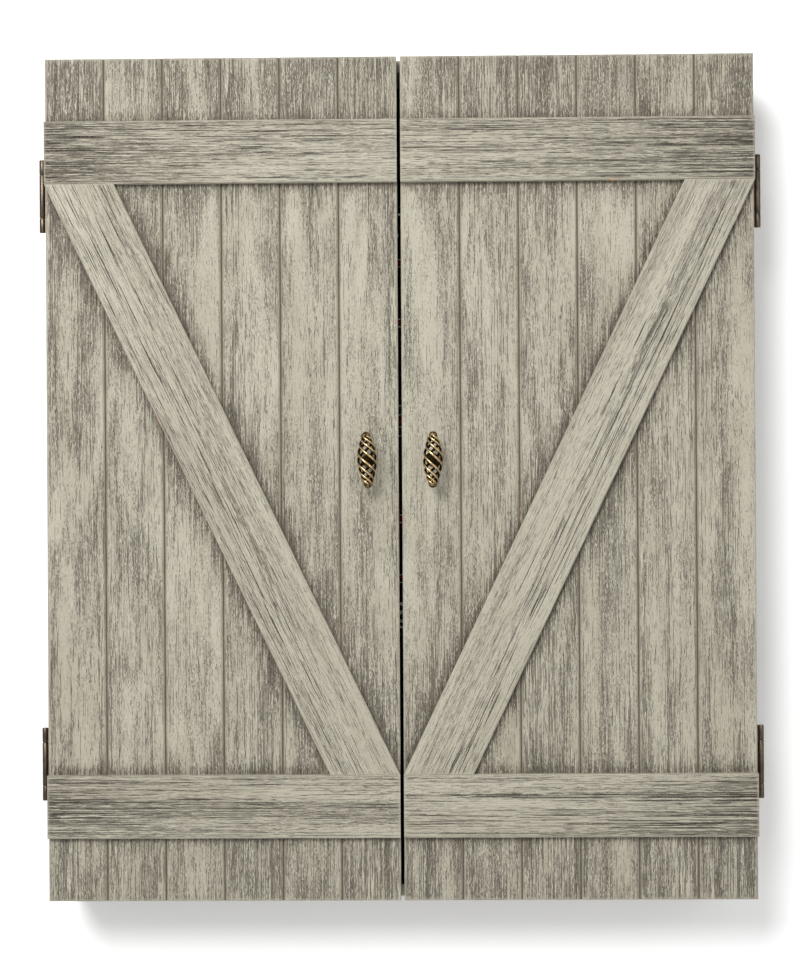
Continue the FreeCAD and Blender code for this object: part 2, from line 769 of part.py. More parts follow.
def make_number_ring():
    """Wire hoop held off the board's face by small clips."""
    hoop = spare("Part::Torus", "Hoop")
    bind(hoop, "Radius1", "ring_radius")
    bind(hoop, "Radius2", "ring_wire")
    middle = f"({BOARD_FRONT_Y} + ring_wire + ring_clear)"
    place(hoop, "0", f"-{middle}", "board_raise", ABOUT["-Y"])
    solids = [hoop]
    for number in range(RING_CLIPS):
        angle = math.radians(360.0 / RING_CLIPS * number + FIRST_CLIP)
        at = (f"(ring_radius + ring_wire) * {math.cos(angle)}", f"-{BOARD_FRONT_Y}",
              f"board_raise + (ring_radius + ring_wire) * {math.sin(angle)}")
        solids.append(cylinder("ring_wire", "2 * ring_wire", at, ABOUT["-Y"], "Clip"))
    node(fuse(solids), "number_ring")


def make_hanger():
    """Screw in the middle of the board's back, and the rubber feet round it."""
    head_back = f"({BRACKET_FRONT} - bracket_thick - hanger_clear - hanger_head_thick)"
    shank = disc("hanger_radius", f"{BOARD_BACK_Y} + board_back - {head_back}", head_back)
    head = disc("hanger_head", "hanger_head_thick", head_back)
    node(fuse([shank, head]), "hanging_screw")
    feet = []
    for turn in FOOT_TURNS:
        angle = math.radians(turn)
        at = (f"foot_circle * {math.cos(angle)}", f"-{LINER_FRONT} - foot_clear",
              f"board_raise + foot_circle * {math.sin(angle)}")
        feet.append(cylinder("foot_radius", "board_standoff - foot_clear", at, ABOUT["-Y"], "Foot"))
    node(group(feet), "board_feet")


# ---------------------------------------------------------------- assembly

wall_holes = make_wall_holes()
carcass_screws = node(make_carcass_screws(), "carcass_screws")
hinge_screws = {side: make_hinge_screws(side) for side in (-1, 1)}
box_screws = make_bracket_screws() + make_catch_screws() + hinge_screws[-1][0] + hinge_screws[1][0]
fittings = node(group(box_screws, "BoxScrews"), "fitting_screws")
make_box(wall_holes, carcass_screws, fittings)
make_bracket(fittings)
make_catches(fittings)
make_pins()
for side, name in ((-1, "left"), (1, "right")):
    bolt = screw("handle_screw", (f"{side} * {HANDLE_X}", f"-{DOOR_BACK}", "handle_raise"), "-Y")
    driven = make_rail_screws(side) + make_scoreboard_screws(side) + make_rack_screws(side)
    driven += make_strike_screws(side) + hinge_screws[side][1] + [bolt]
    screws = node(group(driven, "DoorScrews"), f"{name}_door_screws")
    make_planks(side, name, screws)
    make_rails(side, name, screws)
    make_brace(side, name, screws)
    make_scoreboard(side, name, screws)
    make_dart_rack(side, name, screws)
    make_strike(side, name, screws)
    for level, word in ((-1, "lower"), (1, "upper")):
        make_frame_leaf(side, level, f"{name}_{word}_frame_leaf", fittings)
        make_door_leaf(side, level, f"{name}_{word}_door_leaf", screws)
    make_handle(side, name, bolt)
make_board()
make_spider()
make_number_ring()
make_hanger()

doc.recompute()
for obj in doc.Objects:
    if "Invalid" in obj.State or "Error" in obj.State:
        raise RuntimeError(f"{obj.Name} ({obj.Label}) failed: {obj.State}")
for obj in NODES:
    if obj.Shape.isNull() or not obj.Shape.isValid() or not obj.Shape.Solids:
        raise RuntimeError(f"{obj.Label} has no valid solid")

os.makedirs("parts", exist_ok=True)
for obj in NODES:
    obj.Shape.exportStep(f"parts/{obj.Label}.step")
print(len(NODES), "sub-parts written")
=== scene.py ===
"""Looks of a wall-hung dart board cabinet: painted plank doors, worn metal fittings, dart board inside."""

import math
from collections import namedtuple

import bmesh
import bpy
import numpy as np
from bpy.props import FloatProperty, FloatVectorProperty, IntProperty, PointerProperty
from mathutils import Matrix, Vector


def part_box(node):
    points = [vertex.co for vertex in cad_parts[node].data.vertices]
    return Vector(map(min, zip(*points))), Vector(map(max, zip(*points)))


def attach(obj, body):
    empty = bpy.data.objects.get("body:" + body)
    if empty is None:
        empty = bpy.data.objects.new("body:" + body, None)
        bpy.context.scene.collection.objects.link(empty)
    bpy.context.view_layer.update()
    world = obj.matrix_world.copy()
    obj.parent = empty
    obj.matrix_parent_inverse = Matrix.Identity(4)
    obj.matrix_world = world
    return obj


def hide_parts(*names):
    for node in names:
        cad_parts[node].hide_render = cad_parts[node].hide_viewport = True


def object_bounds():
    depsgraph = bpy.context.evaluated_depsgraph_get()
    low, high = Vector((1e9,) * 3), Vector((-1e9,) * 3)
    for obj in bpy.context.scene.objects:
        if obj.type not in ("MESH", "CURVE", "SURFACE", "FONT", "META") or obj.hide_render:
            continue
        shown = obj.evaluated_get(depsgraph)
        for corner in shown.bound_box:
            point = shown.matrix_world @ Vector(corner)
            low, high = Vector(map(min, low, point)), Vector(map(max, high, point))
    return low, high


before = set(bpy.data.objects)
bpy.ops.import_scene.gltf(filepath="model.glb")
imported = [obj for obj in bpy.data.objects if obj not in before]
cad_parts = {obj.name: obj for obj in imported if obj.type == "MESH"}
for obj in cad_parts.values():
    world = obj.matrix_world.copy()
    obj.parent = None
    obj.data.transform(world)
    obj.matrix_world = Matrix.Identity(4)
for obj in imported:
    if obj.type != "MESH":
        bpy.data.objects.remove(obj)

bl_info = {
    "name": "Dart board cabinet",
    "version": (1, 0, 0),
    "blender": (4, 5, 0),
    "location": "3D View > Sidebar > Cabinet",
    "description": "Builds the painted boards, fittings, dart board and studio of a wall cabinet",
    "category": "Object",
}

CAD_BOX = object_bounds()
SIDES = ((-1, "left"), (1, "right"))
LEVELS = ((-1, "bottom"), (1, "top"))
HINGES = ("lower", "upper")
SISAL = ("black", "cream", "red", "green")
PLANKS = 6
FRONT = Vector((0, -1, 0))
RIGHT = Vector((1, 0, 0))
UP = Vector((0, 0, 1))

Brace = namedtuple("Brace", "start across forward width reach shear")

# First seed of each kind of board, so that no two boards are worn alike.
SEEDS = {"left_plank": 11, "right_plank": 31, "rail": 50, "side": 60, "panel": 70, "brace": 80}

# Corners closer than this are one corner, and edges sharper than these angles aren't smoothed.
WELD = 1e-6
SHARP_PIECE = math.radians(35)
SHARP_NODE = math.radians(30)

# Screw head: radius in parts of the head's, and depth below its rim in the same parts.
SCREW_HEAD = ((0.02, 0), (0.14, 0), (0.28, 0), (0.42, 0), (0.55, 0), (0.7, 0), (0.92, 0), (1.0, 0.05),
              (0.98, 0.12))
SCREW_SIDES = 32

# Turn from one screw's cross recess to the next one's, and the recess in parts of the head's radius.
SCREW_SPIN = 1.9
RECESS_HALF_WIDTH = 0.13
RECESS_DEPTH = 0.3
RECESS_REACH = 0.6

# What the glaze strokes of each painted material are like; see painted_wood().
PAINTS = {
    "Plank paint": {"level": 0.55, "girth": 0.95, "stretch": 1.0, "crowding": 0.45, "force": 0.74,
                    "bold_force": 0.72, "haze": 0.5, "tint": (0.965, 0.97, 0.945)},
    "Rail paint": {"level": 0.551, "girth": 1.0, "stretch": 3.2, "crowding": 0.3, "force": 0.7,
                   "bold_force": 1.0, "haze": 0.12, "tint": (0.975, 0.98, 0.96)},
    "Box paint": {"level": 0.56, "girth": 1.2, "stretch": 1.4, "crowding": 0.4, "force": 0.75,
                  "bold_force": 0.75, "haze": 0.4, "tint": (0.98, 1.0, 0.98)},
}
WOODS = {
    "Pine": {"light": (0.62, 0.44, 0.25), "dark": (0.42, 0.26, 0.13), "scale": (6, 90, 90)},
    "Back panel wood": {"light": (0.5, 0.37, 0.22), "dark": (0.36, 0.24, 0.13), "scale": (70, 60, 5),
                        "rings": 0.8},
    "Chipboard": {"light": (0.2, 0.145, 0.09), "dark": (0.09, 0.065, 0.04), "scale": (260, 260, 260),
                  "rings": 0.5},
}
COATS = {
    "Black plastic": {"tone": (0.022, 0.022, 0.024), "rough": 0.45, "scale": 60.0, "grit": 0.00004},
    "Powder coat": {"tone": (0.03, 0.03, 0.032), "rough": 0.5, "scale": 90.0, "grit": 0.0001, "coat": 0.1},
    "Black steel strip": {"tone": (0.03, 0.03, 0.03), "rough": 0.35, "scale": 30.0},
    "Blade steel": {"tone": (0.5, 0.5, 0.5), "rough": 0.3, "scale": 60.0, "metallic": 1.0, "grit": 0.00003},
    "Magnet": {"tone": (0.16, 0.16, 0.17), "rough": 0.3, "scale": 150.0, "metallic": 1.0, "grit": 0.00005},
    "Foot rubber": {"tone": (0.025, 0.025, 0.025), "rough": 0.7, "scale": 120.0, "grit": 0.0002},
}

# Name, place from the cabinet's middle, diameter and share of the key light's power.
LIGHTS = (
    ("key_light", (-0.8, -2.6, 1.25), 1.2, 1.0),
    ("side_light", (2.2, -2.6, 0.4), 2.0, 0.18),
    ("low_light", (0.02, -1.5, -2.0), 0.6, 0.1),
)


# ---------------------------------------------------------------- settings


def colour(name, description, default):
    return FloatVectorProperty(
        name=name, description=description, default=default, size=3, min=0, max=1, subtype="COLOR")


def length(name, description, default):
    return FloatProperty(
        name=name, description=description, default=default, min=0, unit="LENGTH", precision=5)


def ratio(name, description, default, least=0.0):
    return FloatProperty(name=name, description=description, default=default, min=least, precision=3)


def angle(name, description, default):
    return FloatProperty(
        name=name, description=description, default=math.radians(default), unit="ROTATION", precision=4)


class PaintSettings(bpy.types.PropertyGroup):
    """Tones and brush marks of the painted boards."""

    light: colour("Light tone", "Smooth light paint", (0.403, 0.376, 0.308))
    middle: colour("Middle tone", "Paint between the light areas", (0.36, 0.331, 0.267))
    smoke: colour("Smoky tone", "Brown-grey glaze in broad patches", (0.222, 0.18, 0.136))
    dark: colour("Dark strokes", "Glaze left in the grain", (0.043, 0.03, 0.02))
    groove: colour("Grooves", "Paint down in the grooves", (0.095, 0.073, 0.052))
    raw: colour("Bare wood", "Wood where the paint is rubbed through", (0.62, 0.36, 0.2))
    stroke_width: length("Stroke width", "Width of one fine brush mark", 0.00055)
    stroke_length: length("Stroke length", "Length of one fine brush mark", 0.0042)
    relief: length("Relief", "How deep the faces dip between high places", 0.00022)
    grid_across: length("Grid across", "Mesh pitch across a board", 0.0026)
    grid_along: length("Grid along", "Mesh pitch along a board", 0.006)
    chamfer: length("Groove side", "Width of the chamfer on a jointed plank edge", 0.0022)
    ease: length("Eased edge", "Width of the rounding on a free edge", 0.0008)
    bold_width: ratio("Bold width", "Width of a bold mark against a fine one", 1.55)
    bold_length: ratio("Bold length", "Length of a bold mark against a fine one", 4.5)
    # The rubbed line along the edges is lighter paint and also a painted highlight on the eased edge.
    rub_reach: length("Rubbed edge", "How far the rubbed line reaches from an edge", 0.0012)
    # The light lines between marks are clean paint and also a painted highlight on the raised grain.
    ridge_share: ratio("Ridges", "Strength of the light lines between marks", 0.4)
    rub_share: ratio("Rub", "Strength of the rubbed line along an edge", 0.5)
    groove_share: ratio("Groove shade", "Strength of the dark in a groove", 0.95)
    bare_share: ratio("Bare share", "Strength of the bare wood", 0.8)
    # Glaze beside the rails and the brace also paints the shade that they cast on the planks.
    rail_shade: length("Rail shade", "How far glaze reaches from a rail's edge", 0.009)
    brace_shade: length("Brace shade", "How far glaze reaches from the brace", 0.01)
    hinge_shade: length("Hinge shade", "How far glaze reaches along a rail from the hinges", 0.12)
    end_shade: ratio("End shade", "Glaze on the planks beyond the rails", 0.3)


class MetalSettings(bpy.types.PropertyGroup):
    """Tones of the metal fittings and the sizes of the twisted wire knobs."""

    brass: colour("Brass", "Rubbed bright brass", (0.66, 0.47, 0.22))
    patina: colour("Patina", "Dark brass in the recesses", (0.022, 0.015, 0.009))
    bronze: colour("Bronze", "Hinge finish", (0.098, 0.078, 0.062))
    steel: colour("Steel", "Zinc-plated screws and plates", (0.6, 0.6, 0.58))
    wire: length("Cage wire", "Diameter of one wire of the knob", 0.0028)
    neck: length("Cage neck", "Distance of the wires from the axis at the ends", 0.0026)
    cap: length("Cap radius", "Radius of the knob's domed ends", 0.0044)
    cage_radius: length("Cage radius", "Largest radius over the wires", 0.0103)
    slope: ratio("Cage slope", "Climb of the wires against their way round the axis", 0.9, 0.1)
    strands: IntProperty(name="Strands", description="Number of wires in a knob", default=5, min=3)
    left_turn: angle("Left knob turn", "Turn of the left knob's wires", 25.8)
    right_turn: angle("Right knob turn", "Turn of the right knob's wires", 39.0)
    left_lean: angle("Left knob lean", "Lean of the left knob", -2.0)
    right_lean: angle("Right knob lean", "Lean of the right knob", 0.8)
    leaf: length("Leaf", "Thickness of a hinge leaf", 0.0016)
    inner_set: length("Frame leaf set", "From the pin's middle forward to the frame leaf's face", 0.0006)
    outer_set: length("Door leaf set", "From the pin's middle forward to the door leaf's face", 0.001)
    pin: length("Pin radius", "Radius of a hinge pin", 0.0015)
    gap: length("Knuckle gap", "Play between two knuckles", 0.0003)


class BoardSettings(bpy.types.PropertyGroup):
    """Colours and sizes of the dart board."""

    black: colour("Black beds", "Dyed black sisal", (0.018, 0.018, 0.017))
    cream: colour("Natural beds", "Undyed sisal", (0.55, 0.4, 0.22))
    red: colour("Red beds", "Dyed red sisal", (0.42, 0.022, 0.016))
    green: colour("Green beds", "Dyed green sisal", (0.02, 0.16, 0.05))
    ring: length("Number ring", "Radius of the number ring", 0.217)
    ring_wire: length("Ring wire", "Radius of the number ring's wire", 0.0016)
    clip_turn: angle("Clip turn", "Turn of the first clip on the number ring", 27.0)
    numeral: length("Numerals", "Height of the numerals", 0.024)
    numeral_thick: length("Numeral thickness", "Half the thickness of a numeral", 0.0004)
    numeral_bevel: length("Numeral bevel", "Rounding round a numeral", 0.0003)


class StageSettings(bpy.types.PropertyGroup):
    """Light, wall, floor and camera."""

    wall: colour("Wall and floor", "Colour of the studio", (0.96, 0.96, 0.96))
    fill: ratio("Fill", "Strength of the even light", 0.56)
    key: FloatProperty(
        name="Key light", description="Power of the main light", default=84, min=0, unit="POWER")
    wall_gap: length("Wall gap", "From the cabinet's back to the wall", 0.0008)
    span: length("Span", "Half the width of the wall and of the floor", 4)
    floor_drop: length("Floor drop", "Floor below the cabinet", 0.19)
    camera_distance: length("Camera distance", "From the doors' front to the camera", 1.87)
    camera_aside: length("Camera aside", "Camera to the right of the middle", 0.025)
    camera_low: length("Camera low", "Camera below the middle", 0.0083)
    camera_pan: angle("Pan", "Camera turn about the upright", 0.7806)
    camera_roll: angle("Roll", "Camera turn about its own view", 0.3426)
    camera_tilt: angle("Tilt", "Camera turn upwards", 0.1155)
    lens: FloatProperty(name="Lens", description="Focal length", default=67.94, min=1, unit="CAMERA")


# ---------------------------------------------------------------- shader trees


class Tree:
    """Short way to add nodes to a shader tree and join them."""

    def __init__(self, tree):
        self.tree = tree

    def add(self, kind, inputs=(), **settings):
        made = self.tree.nodes.new(kind)
        for name, setting in settings.items():
            setattr(made, name, setting)
        for socket, source in dict(inputs).items():
            self.feed(made.inputs[socket], source)
        return made

    def feed(self, socket, source):
        if isinstance(source, bpy.types.NodeSocket):
            self.tree.links.new(source, socket)
        elif hasattr(source, "__len__") and len(socket.default_value) == 4:
            socket.default_value = (*source[:3], 1.0)
        else:
            socket.default_value = source

    def math(self, operation, first, second=0.0, clamp=False):
        made = self.add("ShaderNodeMath", {0: first, 1: second}, operation=operation, use_clamp=clamp)
        return made.outputs[0]

    def plus(self, first, second):
        return self.math("ADD", first, second)

    def minus(self, first, second):
        return self.math("SUBTRACT", first, second)

    def times(self, first, second):
        return self.math("MULTIPLY", first, second)

    def mix(self, share, first, second, blend="MIX"):
        made = self.add("ShaderNodeMix", data_type="RGBA", blend_type=blend)
        for index, source in ((0, share), (6, first), (7, second)):
            self.feed(made.inputs[index], source)
        return made.outputs[2]

    def spread(self, source, low, high, to_low=0.0, to_high=1.0):
        """Smooth step of a value from one range to another."""
        made = self.add("ShaderNodeMapRange", {0: source, 1: low, 2: high, 3: to_low, 4: to_high},
                        interpolation_type="SMOOTHSTEP")
        return made.outputs[0]

    def split(self, vector):
        return self.add("ShaderNodeSeparateXYZ", {0: vector}).outputs

    def stretch(self, vector, scale, shift=(0, 0, 0)):
        made = self.add("ShaderNodeVectorMath", {0: vector, 1: scale, 2: shift}, operation="MULTIPLY_ADD")
        return made.outputs[0]

    def noise(self, vector, scale=1.0, detail=2.0, roughness=0.5, distortion=0.0):
        made = self.add("ShaderNodeTexNoise", {
            "Vector": vector, "Scale": scale, "Detail": detail, "Roughness": roughness,
            "Distortion": distortion})
        return made.outputs["Fac"]

    def attribute(self, name):
        return self.add("ShaderNodeAttribute", attribute_name=name).outputs["Vector"]

    def place(self):
        return self.add("ShaderNodeTexCoord").outputs["Object"]

    def group(self, name, **inputs):
        made = self.tree.nodes.new("ShaderNodeGroup")
        made.node_tree = bpy.data.node_groups[name]
        for socket, source in inputs.items():
            self.feed(made.inputs[socket.replace("_", " ")], source)
        return made.outputs

    def surface(self, base, roughness, height=None, depth=0.0003, **plain):
        """Principled surface whose other sockets take plain numbers."""
        shader = self.add("ShaderNodeBsdfPrincipled", {"Base Color": base, "Roughness": roughness})
        for socket, source in plain.items():
            self.feed(shader.inputs[socket.replace("_", " ")], source)
        if height is not None:
            bump = self.add("ShaderNodeBump", {"Height": height, "Distance": depth, "Strength": 1.0})
            self.feed(shader.inputs["Normal"], bump.outputs[0])
        output = self.add("ShaderNodeOutputMaterial")
        self.feed(output.inputs["Surface"], shader.outputs[0])


def new_group(name, inputs, outputs):
    """Empty node group with named sockets, its tree and its input sockets."""
    group = bpy.data.node_groups.new(name, "ShaderNodeTree")
    for socket, kind in inputs.items():
        group.interface.new_socket(socket, in_out="INPUT", socket_type=f"NodeSocket{kind}")
    for socket in outputs:
        group.interface.new_socket(socket, in_out="OUTPUT", socket_type="NodeSocketFloat")
    tree = Tree(group)
    return tree, tree.add("NodeGroupInput").outputs, tree.add("NodeGroupOutput").inputs


def group_strokes():
    """Straight marks along the grain, broken into flecks and crowded in bands, with light lines between:
    clean paint on raised grain and a painted highlight.

    Distances in the noise are counted in widths and lengths of one mark.
    """
    short_share = 0.52
    tree, given, made = new_group(
        "Brush Strokes",
        {"Grain": "Vector", "Width": "Float", "Length": "Float", "Level": "Float", "Softness": "Float",
         "Crowding": "Float"},
        ("Strokes", "Ridges"))
    across, along, seed = tree.split(given["Grain"])
    wide = tree.math("DIVIDE", across, given["Width"])
    far = tree.math("DIVIDE", along, given["Length"])
    lines = tree.add("ShaderNodeCombineXYZ", {0: wide, 1: far, 2: seed}).outputs[0]
    short = tree.noise(lines, roughness=0.6, distortion=0.05)
    long = tree.noise(tree.stretch(lines, (0.9, 0.11, 1.0), (4.2, 1.1, 5.3)), roughness=0.55)
    bands = tree.noise(tree.stretch(lines, (0.026, 0.03, 1.0), (3.1, 7.7, 2.3)), detail=4.0,
                       roughness=0.6, distortion=0.3)
    mixed = tree.plus(tree.times(short, short_share), tree.times(long, 1 - short_share))
    lift = tree.times(tree.minus(bands, 0.5), given["Crowding"])
    top = tree.plus(given["Level"], given["Softness"])
    tree.feed(made["Strokes"], tree.spread(tree.plus(mixed, lift), given["Level"], top))
    between = tree.plus(tree.minus(1.0, mixed), lift)
    tree.feed(made["Ridges"], tree.spread(between, given["Level"], top))


def group_edges():
    """Rubbed line along an edge, which also paints a highlight on the eased edge, and the dark down in a
    groove.
    """
    tree, given, made = new_group(
        "Edge Wear",
        {"Grain": "Vector", "Distance": "Float", "Depth": "Float", "Reach": "Float"},
        ("Rub", "Groove", "Bare"))
    broken = tree.noise(given["Grain"], scale=160.0, roughness=0.6)
    wander = tree.times(tree.minus(broken, 0.45), given["Reach"])
    near = tree.plus(given["Distance"], tree.times(wander, 3.0))
    rub_and_highlight = tree.spread(near, given["Reach"], 0.0)
    tree.feed(made["Rub"], rub_and_highlight)
    tree.feed(made["Groove"], tree.spread(given["Depth"], 0.0007, 0.0022))
    rare = tree.noise(given["Grain"], scale=34.0)
    tree.feed(made["Bare"], tree.times(tree.spread(rare, 0.7, 0.76), rub_and_highlight))


def group_mottle():
    """Soft uneven value, with a finer one on top, for handled surfaces and dust."""
    tree, given, made = new_group(
        "Mottle", {"Vector": "Vector", "Scale": "Float", "Low": "Float", "High": "Float"},
        ("Value", "Fine"))
    broad = tree.noise(given["Vector"], given["Scale"], detail=4.0, roughness=0.6)
    tree.feed(made["Value"], tree.spread(broad, 0.35, 0.65, given["Low"], given["High"]))
    fine_scale = tree.times(given["Scale"], 9.0)
    fine = tree.noise(given["Vector"], fine_scale, detail=3.0, roughness=0.6)
    tree.feed(made["Fine"], fine)


def group_fibres():
    """Tangled fibre ends for felt and sisal."""
    tree, given, made = new_group(
        "Fibres", {"Vector": "Vector", "Scale": "Float"}, ("Shade", "Height"))
    cells = tree.add("ShaderNodeTexVoronoi", {"Vector": given["Vector"], "Scale": given["Scale"]})
    fuzz = tree.noise(given["Vector"], given["Scale"], detail=5.0, roughness=0.7, distortion=1.2)
    tree.feed(made["Height"], tree.minus(fuzz, cells.outputs["Distance"]))
    tree.feed(made["Shade"], tree.spread(fuzz, 0.3, 0.7))


# ---------------------------------------------------------------- materials


def new_material(name):
    """Empty shader tree of a new material."""
    material = bpy.data.materials.new(name)
    material.use_nodes = True
    material.node_tree.nodes.clear()
    return Tree(material.node_tree)


def painted_wood(name, paint, level, girth, stretch, crowding, force, bold_force, haze, tint):
    """Distressed paint: glaze strokes in the grain, smoky patches, rubbed edges, painted highlights and
    painted shade.

    A lower level gives more strokes; girth and stretch scale their width and length, crowding gathers
    them in bands, force and bold_force darken the fine and the bold ones, and haze fills the patches.
    """
    tree = new_material(name)
    grain = tree.attribute("grain")
    # The third value of worn is glaze, which beside the rails and the brace is also painted shade.
    distance, depth, glaze = tree.split(tree.attribute("worn"))
    width, far = paint.stroke_width * girth, paint.stroke_length * stretch
    # Bold strokes are rarer than fine ones, and both are denser where glaze was left and where shade is
    # painted.
    fine = tree.group("Brush Strokes", Grain=grain, Width=width, Length=far,
                      Level=tree.minus(level + 0.01, tree.times(glaze, 0.12)),
                      Softness=0.045, Crowding=crowding)
    coarse = tree.group("Brush Strokes", Grain=tree.stretch(grain, (1, 1, 1), (0.4, 0.9, 3.0)),
                        Width=width * paint.bold_width, Length=far * paint.bold_length,
                        Level=tree.minus(level + 0.028, tree.times(glaze, 0.1)),
                        Softness=0.018, Crowding=crowding * 0.8)
    edges = tree.group("Edge Wear", Grain=grain, Distance=distance, Depth=depth, Reach=paint.rub_reach)
    broad = tree.noise(tree.stretch(grain, (24, 6 / stretch, 1.7)), detail=3.0, roughness=0.55,
                       distortion=0.6)
    cloud = tree.noise(tree.stretch(grain, (75, 16 / stretch, 2.9), (5, 1, 4)), detail=4.0,
                       roughness=0.65, distortion=0.5)
    tone = tree.mix(tree.spread(broad, 0.35, 0.65), paint.light, paint.middle)
    patches = tree.times(tree.spread(cloud, 0.52, 0.74), haze)
    # Glaze, with the painted shade beside the rails and the brace, also smokes the tone.
    smoke = tree.math("ADD", patches, tree.times(glaze, 0.3), clamp=True)
    tone = tree.mix(smoke, tone, paint.smoke)
    quiet = tree.spread(distance, 0.0004, 0.003, 0.4, 1.0)
    fleck = tree.noise(tree.stretch(grain, (1300, 500, 1)), detail=3.0, roughness=0.7)
    kept = tree.times(quiet, tree.spread(fleck, 0.25, 0.6, 0.6, 1.0))
    faint = tree.times(tree.times(fine["Strokes"], force), kept)
    bold = tree.times(tree.times(coarse["Strokes"], bold_force), kept)
    marks = tree.math("MAXIMUM", faint, bold)
    lines = tree.math("MAXIMUM", fine["Ridges"], coarse["Ridges"])
    lit_ridges = tree.times(lines, paint.ridge_share)
    # Ridges lighter than the light paint: clean paint on raised grain, and a painted highlight.
    tone = tree.mix(lit_ridges, tone, tuple(min(1.0, c * 1.14) for c in paint.light))
    tone = tree.mix(tree.spread(fleck, 0.35, 0.75, 0.0, 0.3), tone, paint.smoke)
    tone = tree.mix(faint, tone, paint.dark)
    tone = tree.mix(bold, tone, tuple(c * 0.7 for c in paint.dark))
    # The rubbed line is lighter paint and also a painted highlight along the eased edges.
    for wear_and_light, share, shade in (("Rub", paint.rub_share, paint.light),
                               ("Groove", paint.groove_share, paint.groove),
                               ("Bare", paint.bare_share, paint.raw)):
        tone = tree.mix(tree.times(edges[wear_and_light], share), tone, shade)
    tone = tree.mix(1.0, tone, tint, "MULTIPLY")
    rough = tree.spread(marks, 0.0, 1.0, 0.55, 0.8)
    height = tree.minus(tree.times(fleck, 0.25), tree.minus(marks, lit_ridges))
    tree.surface(tone, rough, height, depth=0.0005, Specular_IOR_Level=0.3)


def raw_wood(name, light, dark, scale, rings=0.2):
    """Unfinished wood; its grain runs along the axis with the smallest scale."""
    tree = new_material(name)
    place = tree.stretch(tree.place(), scale)
    streaks = tree.noise(place, detail=5.0, roughness=0.6, distortion=rings)
    mottle = tree.group("Mottle", Vector=tree.place(), Scale=9.0, Low=0.0, High=0.4)
    tone = tree.mix(tree.spread(streaks, 0.3, 0.7), light, dark)
    tone = tree.mix(mottle["Value"], tone, tuple(c * 0.7 for c in dark))
    tree.surface(tone, tree.spread(streaks, 0.2, 0.8, 0.62, 0.82), streaks, Specular_IOR_Level=0.25)


def fibre_cloth(name, tone, scale, lift, sheen):
    """Felt or sisal: matted fibres with a soft uneven shade."""
    tree = new_material(name)
    place = tree.place()
    fibres = tree.group("Fibres", Vector=place, Scale=scale)
    mottle = tree.group("Mottle", Vector=place, Scale=14.0, Low=0.0, High=0.35)
    pale = tuple(min(1.0, c * 1.5 + lift) for c in tone)
    shade = tree.mix(fibres["Shade"], tuple(c * 0.7 for c in tone), pale)
    shade = tree.mix(mottle["Value"], shade, tuple(c * 0.6 for c in tone))
    tree.surface(shade, tree.spread(fibres["Shade"], 0, 1, 0.85, 0.98), fibres["Height"], depth=0.0006,
                 Specular_IOR_Level=0.2, Sheen_Weight=sheen, Sheen_Roughness=0.5)


def plain_coat(name, tone, rough, scale=40.0, metallic=0.0, grit=0.00008, coat=0.0):
    """Painted, moulded or plated surface with handling marks and dust."""
    tree = new_material(name)
    mottle = tree.group("Mottle", Vector=tree.place(), Scale=scale, Low=0.0, High=1.0)
    dusty = tuple(min(1.0, c * 1.25 + 0.012) for c in tone)
    shade = tree.mix(mottle["Value"], tuple(tone), dusty)
    level = tree.plus(tree.times(mottle["Value"], 0.16), rough)
    tree.surface(shade, level, mottle["Fine"], depth=grit, Metallic=metallic, Coat_Weight=coat)


def antique_brass(name, metal):
    """Bright where the hand rubs it and where a highlight is painted, dark brown in the recesses and where
    shade is painted.
    """
    tree = new_material(name)
    raised = tree.split(tree.attribute("raised"))[0]
    mottle = tree.group("Mottle", Vector=tree.place(), Scale=420.0, Low=-0.12, High=0.12)
    # Brass shows only on the outward crests: rubbing there and a painted highlight; the rest is patina and
    # painted shade.
    level = tree.spread(tree.plus(raised, mottle["Value"]), 0.45, 1.0)
    shade = tree.mix(level, tuple(metal.patina), tuple(metal.brass))
    rough = tree.spread(level, 0, 1, 0.6, 0.27)
    tree.surface(shade, rough, mottle["Fine"], depth=0.00006, Metallic=1.0)


def brushed_bronze(name, metal):
    """Brown metal brushed along the hinge, brassy where it is worn."""
    tree = new_material(name)
    place = tree.place()
    lines = tree.noise(tree.stretch(place, (2600, 2600, 90)), roughness=0.6)
    mottle = tree.group("Mottle", Vector=place, Scale=120.0, Low=0.0, High=0.55)
    brassy = tuple(0.15 * brass + 0.85 * bronze for brass, bronze in zip(metal.brass, metal.bronze))
    shade = tree.mix(lines, tuple(c * 0.55 for c in metal.bronze), tuple(c * 1.5 for c in metal.bronze))
    shade = tree.mix(mottle["Value"], shade, brassy)
    tree.surface(shade, tree.spread(lines, 0.2, 0.8, 0.3, 0.48), lines, depth=0.00003, Metallic=1.0)


def chalkboard(name):
    """Black writing surface with wiped chalk."""
    tree = new_material(name)
    place = tree.place()
    wiped = tree.noise(tree.stretch(place, (9, 1, 13)), detail=5.0, roughness=0.62, distortion=1.8)
    arcs = tree.noise(tree.stretch(place, (70, 1, 30)), detail=3.0, roughness=0.7, distortion=2.6)
    chalk = tree.times(tree.spread(wiped, 0.45, 0.75), tree.spread(arcs, 0.3, 0.7))
    shade = tree.mix(tree.times(chalk, 0.3), (0.014, 0.017, 0.017), (0.17, 0.18, 0.17))
    grit = tree.noise(place, scale=900.0, roughness=0.6)
    tree.surface(shade, tree.spread(chalk, 0, 1, 0.6, 0.9), grit, depth=0.00008, Specular_IOR_Level=0.3)


# ---------------------------------------------------------------- meshes


